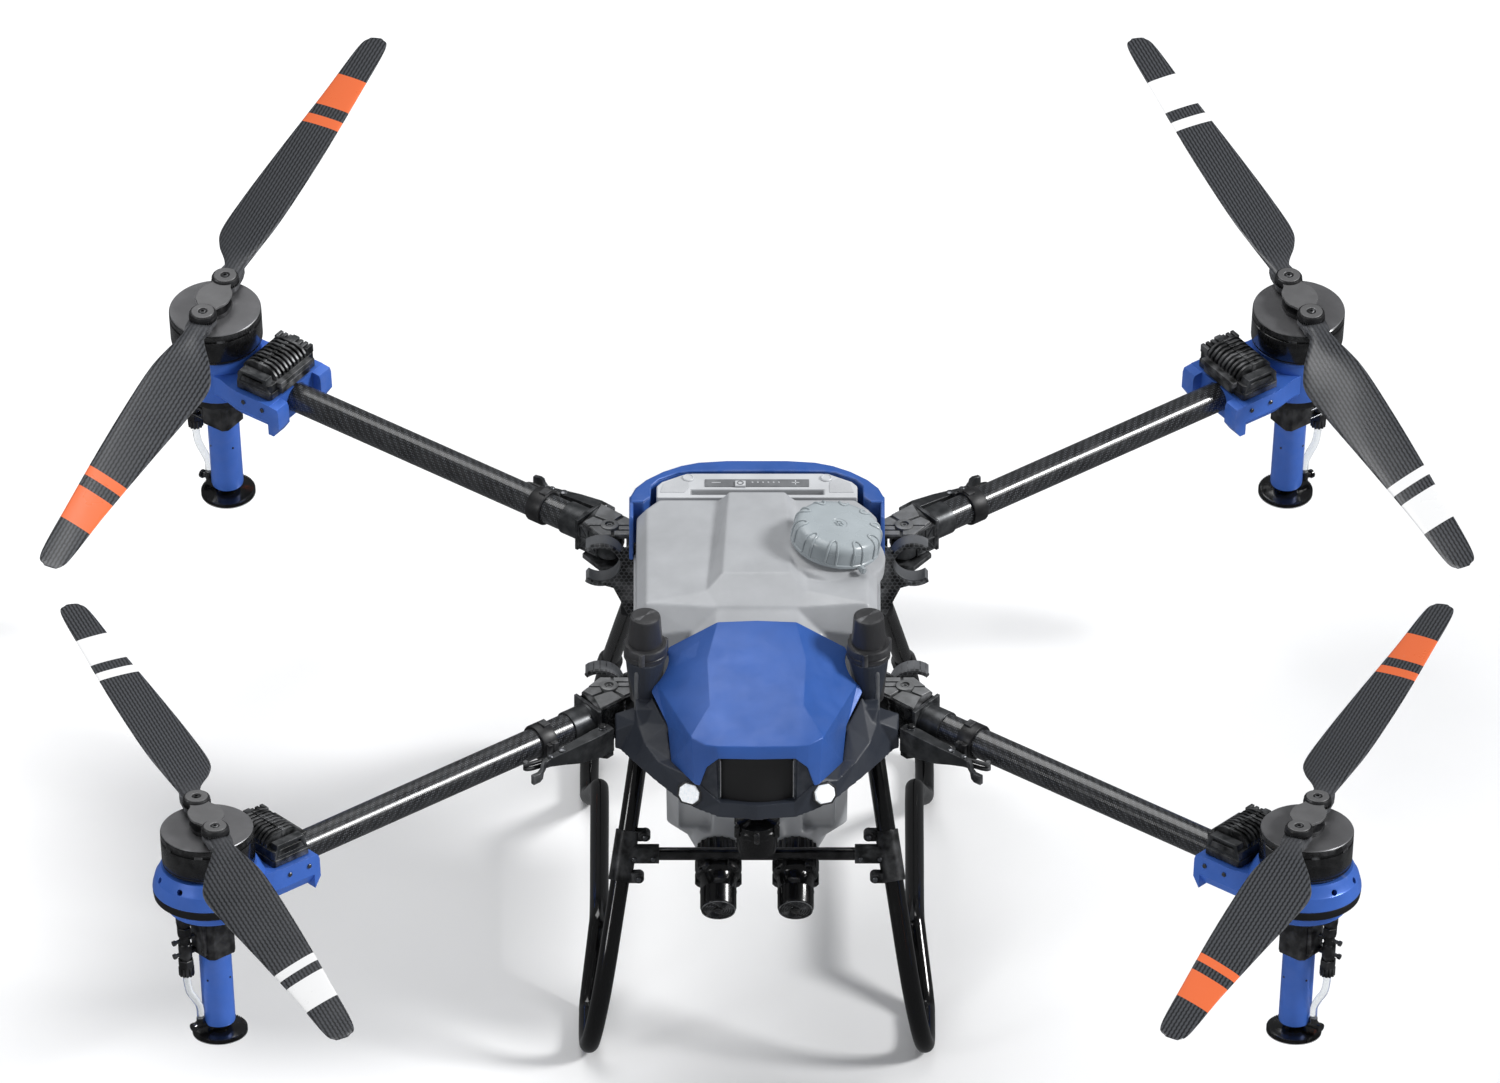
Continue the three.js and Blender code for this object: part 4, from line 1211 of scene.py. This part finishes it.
def power_button():
    """Key in the display strip, with a plain raised ring."""
    low, high = corners("power_button")
    middle = (low + high) / 2
    button = Shape()
    button.box((middle.x - 7, middle.y - 6, low.z + 0.2), (middle.x + 7, middle.y + 6, high.z - 1))
    ring = [(3.2, high.z - 1.6), (4.4, high.z - 1.6), (4.4, high.z - 0.4), (3.2, high.z - 0.4)]
    piece("button_key", button, BATTERY, "power_button", bevel=0.8, stands_for="power_button")
    mark = Shape()
    mark.lathe(ring, 32, (middle.x, middle.y), closed=True)
    piece("button_ring", mark, DISPLAY, "power_button", bevel=0)


def rear_cover():
    """Blue band that wraps the back of the battery bay, with cheeks along the tank."""
    low, high = corners("rear_cover")
    arc = [(169, 138), (169, 150), (162, 171), (148, 190), (126, 209), (102, 223), (78, 231), (40, 235)]
    inner = [(40, 210), (88, 209), (104, 206), (130, 190), (140, 176), (141, 150), (150, 138)]
    top = [(x * 0.985, y * 0.985 + 2) for x, y in arc]
    cheek = [
        (96, low.z + 2), (152, low.z), (152, high.z - 1), (110, high.z - 6), (100, high.z - 22),
    ]

    def band(outer):
        left = [(-x, y) for x, y in reversed(outer)] + [(-x, y) for x, y in reversed(inner)]
        return outer + left + inner

    shape = Shape()
    shape.prism(band(arc), low.z, high.z - 3)
    shape.skin([
        [(x, y, z) for x, y in band(outer)]
        for outer, z in ((arc, high.z - 4), (top, high.z))
    ])
    for side in (-1, 1):
        xs = sorted((side * 163.4, side * 169))
        shape.skin([[(x, y, z) for y, z in cheek] for x in xs])
    piece("rear_cover_band", shape, BLUE_SHELL, "frame", bevel=2.2, stands_for="rear_cover")


# Nose --------------------------------------------------------------------------------------------

ANTENNA_SPOT = (147, -215)

# Right-hand half of the hood: its middle line, the edge of the long panel, the edge of the top and
# the lower edge, each from the crest to the front.
HOOD_MIDDLE = [(0, -186, 591), (0, -250, 575), (0, -330, 555.5), (0, -404, 538.5), (0, -411, 523)]
HOOD_PANEL = [(52, -188, 590), (65, -250, 573), (61, -330, 554), (53, -402, 538), (51, -408, 522)]
HOOD_TOP = [(116, -198, 557), (132, -242, 528), (87, -388, 542), (68, -399, 537.5), (67, -404, 505)]
HOOD_LOWER = [(134, -204, 520), (139, -250, 520), (118, -290, 494), (113, -338, 468), (82, -399, 475)]
HOOD_PRONG = (76, -402, 475)


def nose_hood():
    """Faceted shell with an arched opening and a prong at each side of it."""
    half = []
    for inner, outer in ((HOOD_MIDDLE, HOOD_PANEL), (HOOD_PANEL, HOOD_TOP)):
        half += [(a, b, c, d) for a, b, c, d in zip(inner, outer, outer[1:], inner[1:])]
    crest, shoulder, corner, cheek, arch = HOOD_TOP
    rear, tip, waist, flank, prong = HOOD_LOWER
    half += [
        (crest, rear, tip, shoulder), (shoulder, tip, waist), (shoulder, waist, corner),
        (corner, waist, flank), (corner, flank, prong), (corner, prong, HOOD_PRONG, arch, cheek),
    ]
    shape = Shape()
    shape.faces(half)
    shape.faces([sided(-1, reversed(polygon)) for polygon in half])
    shell(shape, 3.0, 4.0)
    pockets = Shape()
    for side in (-1, 1):
        x, y = side * ANTENNA_SPOT[0], ANTENNA_SPOT[1]
        pockets.rod((x, y, 440), (x, y, 640), 31, segments=48)
    carve(shape, pockets)
    piece("nose_hood_shell", shape, BLUE_SHELL, "frame", bevel=0, stands_for="nose_hood", crease=28)


def radar_window():
    """Curved black window under the hood's arch, between slanted dark cheeks."""
    panel = Shape()
    radius, middle = 112, -291
    angles = [math.radians(-25 + 50 * k / 16) for k in range(17)]
    front = [(radius * math.sin(a), middle - radius * math.cos(a)) for a in angles]
    panel.prism(front + [(47, -372), (-47, -372)], 441, 524)
    piece("radar_window", panel, WINDOW, "frame", bevel=1.2)
    cheeks = Shape()
    for side in (-1, 1):
        cheeks.hull(sided(side, [
            (52, -401, 447), (78, -394, 474), (70, -397, 508), (54, -401, 524), (49, -393, 447),
            (49, -393, 524), (49, -360, 447), (84, -360, 474), (74, -360, 508), (49, -360, 524),
        ]))
        near, far = sorted((side * 48, side * 51))
        cheeks.box((near, -397, 446), (far, -392, 524))
    piece("window_cheeks", cheeks, CHARCOAL, "frame", bevel=1.0)


# Lower edge, lip and upper edge of the bumper, from the middle to the right-hand side.
BUMPER = [
    ((0, -418, 431), (0, -410, 449), (0, -394, 450)),
    ((50, -413, 432), (49, -404, 450), (47, -392, 450)),
    ((78, -402, 437), (74, -397, 472), (70, -388, 474)),
    ((101, -387, 441), (106, -375, 465), (84, -384, 475)),
    ((137, -344, 446), (131, -338, 470), (113, -334, 470)),
    ((162, -303, 444), (149, -306, 478), (119, -288, 493)),
    ((182, -262, 438), (160, -268, 488), (138, -250, 512)),
]


# Convex bodies at each side of the bumper.
BUMPER_WING = [
    (187, -238, 436), (187, -238, 478), (187, -264, 440), (185, -262, 468), (158, -266, 436),
    (158, -270, 486), (158, -236, 488), (158, -236, 436),
]
BUMPER_SHOULDER = [
    (160, -268, 440), (160, -264, 502), (137, -268, 440), (137, -264, 502), (160, -238, 440),
    (160, -236, 508), (137, -238, 440), (140, -236, 508), (150, -306, 446), (128, -312, 452),
]
BUMPER_CORE = [
    (128, -236, 440), (130, -236, 506), (133, -252, 500), (106, -290, 440), (108, -290, 488),
    (100, -340, 440), (104, -338, 466), (74, -388, 440), (76, -386, 470), (60, -240, 440),
    (60, -380, 440),
]
# Height, radius, shift outwards and distance along y of the horn's sections, from the bottom.
BUMPER_HORN = [(490, 13, 0, -232), (520, 19, 1, -228), (545, 25, 0, -220), (556, 27.5, 0, -216)]


def nose_bumper():
    """Skirt under the hood: a lip, a slope back to the hood, and a wing and a horn at each side."""
    right = [[Vector(p) for p in station] for station in BUMPER]
    left = [[Vector((-p.x, p.y, p.z)) for p in station] for station in right[:0:-1]]
    rings = []
    for lower, lip, upper in left + right:
        back = (Vector((0, -200, lower.z)) - lower).normalized()
        inside = lower + back * 18 + UP * 8
        rings.append([lower, lip, upper, upper - UP * 8, inside, lower + back * 14])
    shape = Shape().skin(rings)
    for side in (-1, 1):
        shape.hull(sided(side, BUMPER_WING))
        shape.hull(sided(side, BUMPER_SHOULDER))
        horn = []
        for z, radius, shift, y in BUMPER_HORN:
            middle = side * (ANTENNA_SPOT[0] + shift)
            spots = (polar(radius, angle) for angle in around(24))
            horn.append([(middle + across, y + 1.1 * along, z) for across, along in spots])
        shape.skin(horn)
    for side in (-1, 1):
        shape.hull(sided(side, BUMPER_CORE))
    mould(shape, 1.4, 1)
    piece("bumper_skirt", shape, CHARCOAL, "frame", bevel=0, stands_for="nose_bumper", crease=30)
    pins = Shape()
    for side in (-1, 1):
        pins.lathe([(3.6, 488), (3.6, 542), (3.2, 545), (1.8, 547.6), (0, 548)], 28, (side * 158, -243))
    piece("bumper_pins", pins, RUBBER, "frame", bevel=0)


def headlights():
    """A lens and its bezel at each side of the window, turned outwards and up."""
    for side, label in ((-1, "left"), (1, "right")):
        facing = Vector((side * 0.36, -0.85, 0.38)).normalized()
        turn = facing.to_track_quat("Z", "Y").to_matrix().to_4x4()
        place = Matrix.Translation((side * 88, -392, 456)) @ turn
        outline = [(-14, -5), (-8, -12), (7, -12.5), (14, -5), (14, 5), (7, 12.5), (-7, 13), (-14, 6)]
        lens = Shape()
        sections = ((1, -8), (1, 4), (0.88, 6))
        lens.skin([[(x * s, y * s, z) for x, y in outline] for s, z in sections])
        piece(f"headlight_{label}", lens, LENS, "frame", place, bevel=0.8)
        bezel = Shape()
        sections = ((1.03, -12), (1.03, 5), (1.18, 4.4), (1.24, -12))
        loops = [[(x * s, y * s, z) for x, y in outline] for s, z in sections]
        bezel.skin(loops, closed=True)
        piece(f"headlight_bezel_{label}", bezel, BLACK_PLASTIC, "frame", place, bevel=0.6)


def antenna(side, label):
    """Tapered mast on a ringed base with three lugs."""
    centre = (side * ANTENNA_SPOT[0], ANTENNA_SPOT[1])
    mast = Shape()
    mast.lathe([
        (0, 489), (20, 489), (23, 520), (26.5, 553), (27.5, 553.5), (28.6, 555), (28.6, 562),
        (27.8, 563), (28.8, 564), (28.8, 574), (27.6, 576), (22.8, 576.4), (22.6, 580), (20.4, 614),
        (19.6, 617.4), (17, 619), (0, 619),
    ], 72, centre)
    piece(f"antenna_mast_{label}", mast, ANTENNA_GREY, "frame", bevel=0,
          stands_for=f"antenna_{label}", crease=28)
    brackets = Shape()
    for angle in (20, 140, 260):
        x, y = polar(27.5, math.radians(angle))
        spot = Vector((centre[0] + x, centre[1] + y, 0))
        brackets.rod(spot + UP * 556, spot + UP * 575, 4.5, segments=16)
    piece(f"antenna_lugs_{label}", brackets, ANTENNA_GREY, "frame", bevel=0.6)


def front_camera():
    """Cup with a ring of screw bosses, hung under the bumper, and its lens."""
    low, high = corners("front_camera")
    centre = ((low.x + high.x) / 2, (low.y + high.y) / 2)
    cup = Shape()
    cup.lathe([
        (0, low.z + 2), (20, low.z + 2), (23.4, low.z), (25.6, low.z + 1), (27, low.z + 8),
        (27.6, low.z + 30), (29, low.z + 32), (29, low.z + 38), (27.4, low.z + 40),
        (27.4, low.z + 46), (20, low.z + 48), (0, low.z + 58),
    ], 64, centre)
    for angle in around(6, 0.5):
        x, y = polar(30, angle)
        spot = Vector((centre[0] + x, centre[1] + y, low.z))
        cup.rod(spot + UP * 30, spot + UP * 46, 4, segments=16)
        cup.rod(spot + UP * 44, spot + UP * 48, 2.6, segments=16)
    piece("camera_cup", cup, BLACK_GLOSS, "frame", bevel=0.4, stands_for="front_camera")
    eye = Shape()
    eye.lathe([
        (0, low.z - 1.4), (13, low.z - 1), (16, low.z + 1.6), (16, low.z + 4), (0, low.z + 4),
    ], 48, centre)
    piece("camera_eye", eye, BLACK_GLOSS, "frame", bevel=0)


# Clips, landing gear and pumps -------------------------------------------------------------------

CLIP = {"x": 207.0, "inner": 26.0, "outer": 33.0, "depth": 22.0, "near": 56.0}


def arm_clip(side, end):
    """Sheet with a hook that opens outwards, and the lined saddle behind it."""
    name = ("front" if end < 0 else "rear") + ("_left" if side < 0 else "_right")
    fold = JOINTS[f"arm_fold_{name}"]
    pivot = Vector(fold["pos_m"]) / MM
    middle = CLIP["near"] + CLIP["depth"] / 2
    out = Vector((side * math.cos(ARM_DIRECTION), end * math.sin(ARM_DIRECTION), 0))
    folded = Quaternion(Vector(fold["axis"]), FOLD_ANGLE) @ out
    height = pivot.z + middle * folded.z / abs(folded.y)
    face = min(pivot.y - end * CLIP["near"], pivot.y - end * (CLIP["near"] + CLIP["depth"]))

    def at(radius, angle):
        return (side * (CLIP["x"] - radius * math.cos(angle)), height + radius * math.sin(angle))

    sweep = [math.radians(-128 + 256 * k / 40) for k in range(41)]
    hole = CLIP["inner"] + 1.5
    sheet = Shape()
    ring = [at(CLIP["outer"], a) for a in sweep] + [at(hole, a) for a in reversed(sweep)]
    sheet.slab(ring, face - 3.6, face + 0.4)
    web = [
        (176, 26), (160, 34), (152, 10), (150, -45), (158, -74), (171, -80), (180, -58), (190, -36),
        (204, -31.4),
    ]
    web = [(side * x, height + z) for x, z in web]
    web += [at(hole, math.radians(a)) for a in (-86, -60, -30, 0, 25)]
    sheet.slab(web, face - 3.7, face + 0.3)
    piece(f"clip_sheet_{name}", sheet, HONEYCOMB, "frame", bevel=0)
    lining = Shape()
    inner = [at(CLIP["inner"] - 0.6, a) for a in sweep]
    lined = [at(CLIP["outer"] - 0.8, a) for a in sweep] + list(reversed(inner))
    lining.slab(lined, face - 0.5, face + CLIP["depth"])
    piece(f"clip_lining_{name}", lining, RUBBER, "frame", bevel=0.7)


GEAR_RADIUS = 12.5
GEAR_PATH = [
    (-184, 408), (-250, 316), (-318, 202), (-346, 152), (-361, 107), (-362, 60), (-348, 26), (-322, 13),
    (-266, 12.5), (-236, 19), (-168, 76), (-136, 90), (0, 91),
]
LEG_CLAMP = ((-260, 299), (-289, 252))  # the two joints of the clamp on a front leg
CROSS_TUBE = (-274, 278)  # distance along y, and height


def lean(z):
    """How far from the middle a landing gear loop is at a height."""
    return 223 - 0.18 * (z - GEAR_RADIUS)


def landing_gear(side, label):
    """Bent loop of tube, the clamps that hold it and the front cross tube, and their screws."""
    half = [(side * lean(z), y, z) for y, z in GEAR_PATH]
    path = half + [(x, -y, z) for x, y, z in reversed(half[:-1])]
    tube = Shape()
    tube.sweep(smooth_path(path, 10), GEAR_RADIUS, 28)
    piece(f"gear_tube_{label}", tube, GEAR_PAINT, "frame", bevel=0,
          stands_for=f"landing_gear_{label}", crease=50)
    clamps = Shape()

    def on_leg(y, z):
        return Vector((side * lean(z), y, z))

    clamps.rod(on_leg(-257, 304), on_leg(-292, 247), 15.6, segments=40)
    clamps.rod(on_leg(336, 170), on_leg(347, 152), 16.6, segments=40)
    clamps.rod((side * 129, *CROSS_TUBE), (side * 170, *CROSS_TUBE), 13, segments=40)
    for y, z in LEG_CLAMP:
        leg = side * lean(z)
        near, far = sorted((leg - side * 26, leg))
        clamps.box((near, y - 5, z - 8), (far, y + 5, z + 8))
        clamps.rod((leg - side * 24, y - 7, z), (leg - side * 24, y + 7, z), 7, segments=24)
    for end in (-1, 1):
        top = Vector((side * lean(408), end * 184, 408))
        clamps.rod(top + Vector((0, end * 22, -32)), top + Vector((0, -end * 2, 6)), 16, segments=40)
        ground = sorted((end * 272, end * 312))
        clamps.box((side * 223 - 7, ground[0], 0), (side * 223 + 7, ground[1], 6))
    piece(f"gear_clamps_{label}", clamps, BLACK_METAL, "frame", bevel=0.8)
    screws = Shape()
    for y, z in LEG_CLAMP:
        screw_head(screws, (side * (lean(z) - 24), y - 6.6, z), (0, -1, 0), 3.4)
    for x in (137, 162):
        screw_head(screws, (side * x, CROSS_TUBE[0] - 12.6, CROSS_TUBE[1]), (0, -1, 0), 3.0)
    piece(f"gear_screws_{label}", screws, SCREW, "frame", bevel=0)


def cross_tubes():
    """Thin tube between the front legs."""
    tube = Shape()
    tube.rod((-149, *CROSS_TUBE), (149, *CROSS_TUBE), 8.6, segments=32)
    piece("cross_tube_front", tube, GEAR_PAINT, "frame", bevel=0.3, stands_for="front_cross_tube")


def pump(side, label):
    """Pump under the sump: ribbed union nut, eared flange, motor and vented end."""
    place = pump_place(side)
    body = Shape()
    for rib in circle(26.4, 18):
        body.rod(rib - UP * 4, rib + UP * 14, 2.8, segments=8)
    body.lathe([(0, -8), (24, -8), (27, -4), (27, 14), (24, 17), (18, 18), (18, 26), (0, 26)], 48)
    body.lathe([
        (0, 25), (28, 25), (29, 27), (29, 40), (27, 43), (25, 44), (24, 46), (24, 64), (24.5, 65),
        (24.5, 66), (24, 67), (24, 89), (23, 92), (22.6, 93), (0, 93),
    ], 64)
    ear = [(20, 13), (30, 12), (31, 17), (27, 24), (20, 27)]
    for k in range(4):
        turn = Matrix.Rotation(math.pi / 2 * k, 4, "Z")
        for hand in (1, -1):
            body.skin([[turn @ Vector((x, hand * y, z)) for x, y in ear] for z in (27, 43)])
    piece(f"pump_body_{label}", body, BLACK_GLOSS, "frame", place, bevel=0.5,
          stands_for=f"pump_{label}")
    vents = Shape()
    vents.lathe([(22.6, 92.6), (22.6, 93.8), (21.4, 93.8), (21.4, 92.6)], 64, closed=True)
    for radius in (9, 12, 15, 18):
        for k in range(4):
            start = math.pi / 2 * k + 0.05 * radius
            arc = [(*polar(radius, start + 1.1 * t / 8), 93.2) for t in range(9)]
            vents.sweep(arc, 0.75, 8)
    piece(f"pump_vents_{label}", vents, GREY_ARM, "frame", place, bevel=0)
    hub = Shape()
    hub.lathe([(0, 92), (6, 92), (6, 95), (4, 95.6), (0, 95.6)], 32)
    piece(f"pump_hub_{label}", hub, BLACK_GLOSS, "frame", place, bevel=0)


main_frame()
tank()
tank_cap()
battery()
power_button()
rear_cover()
nose_hood()
radar_window()
nose_bumper()
headlights()
front_camera()
cross_tubes()
for side, label in ((-1, "left"), (1, "right")):
    antenna(side, label)
    landing_gear(side, label)
    pump(side, label)
    for end in (-1, 1):
        arm_clip(side, end)


# Studio ------------------------------------------------------------------------------------------

def studio():
    """Pale floor, a soft key light from the right, a broad top light and a weak strip from the left."""
    floor_mesh = bpy.data.meshes.new("floor")
    reach = 30.0
    edges = [(-reach, -reach, 0), (reach, -reach, 0), (reach, reach, 0), (-reach, reach, 0)]
    floor_mesh.from_pydata(edges, [], [(0, 1, 2, 3)])
    floor = bpy.data.objects.new("floor", floor_mesh)
    floor.location.z = -0.002
    bpy.context.scene.collection.objects.link(floor)
    paper = Surface("floor_paper", "tank_plastic")
    tone = paper.span(paper.noise(3.0), 0.3, 0.7, 0.93, 0.96)
    colour = paper.node("ShaderNodeCombineColor", Red=tone, Green=tone, Blue=tone).outputs[0]
    floor_mesh.materials.append(paper.finish(colour, 0.9))
    floor.visible_glossy = False

    def area(name, spot, target, size, watts):
        light = bpy.data.lights.new(name, "AREA")
        light.size = size
        light.energy = watts
        lamp = bpy.data.objects.new(name, light)
        lamp.location = spot
        lamp.rotation_euler = (Vector(target) - Vector(spot)).to_track_quat("-Z", "Y").to_euler()
        bpy.context.scene.collection.objects.link(lamp)

    area("top", (-1.0, 1.5, 5.0), (0, 0, 0.3), 3.5, 110)
    area("left_strip", (-4.0, -3.0, 2.5), (0, 0, 0.4), 1.2, 36)
    sun = bpy.data.lights.new("key", "SUN")
    sun.energy = 2.7
    sun.angle = math.radians(14)
    key = bpy.data.objects.new("key", sun)
    key.rotation_euler = Vector((-0.8, 0.08, -0.6)).to_track_quat("-Z", "Y").to_euler()
    bpy.context.scene.collection.objects.link(key)
    world = bpy.data.worlds.new("studio")
    world.use_nodes = True
    nodes, links = world.node_tree.nodes, world.node_tree.links
    seen = nodes.new("ShaderNodeLightPath")
    strength = nodes.new("ShaderNodeMapRange")
    links.new(seen.outputs["Is Glossy Ray"], strength.inputs["Value"])
    strength.inputs["To Min"].default_value = 0.36
    strength.inputs["To Max"].default_value = 0.12
    background = nodes["Background"]
    background.inputs["Color"].default_value = (0.95, 0.97, 1.0, 1.0)
    links.new(strength.outputs["Result"], background.inputs["Strength"])
    bpy.context.scene.world = world
    bpy.context.scene.view_settings.view_transform = "Standard"


def camera():
    """A very long lens far in front of the nose, looking down."""
    elevation = math.radians(34.33)
    distance = 66.0  # metres
    target = Vector((-0.0092, 0.0, 0.5895))
    lens = bpy.data.cameras.new("camera")
    lens.sensor_width = 36.0
    lens.lens = 1200.0
    lens.clip_end = 400.0
    viewer = bpy.data.objects.new("camera", lens)
    viewer.location = target + distance * Vector((0, -math.cos(elevation), math.sin(elevation)))
    viewer.rotation_euler = (target - viewer.location).to_track_quat("-Z", "Y").to_euler()
    bpy.context.scene.collection.objects.link(viewer)
    bpy.context.scene.camera = viewer


studio()
camera()
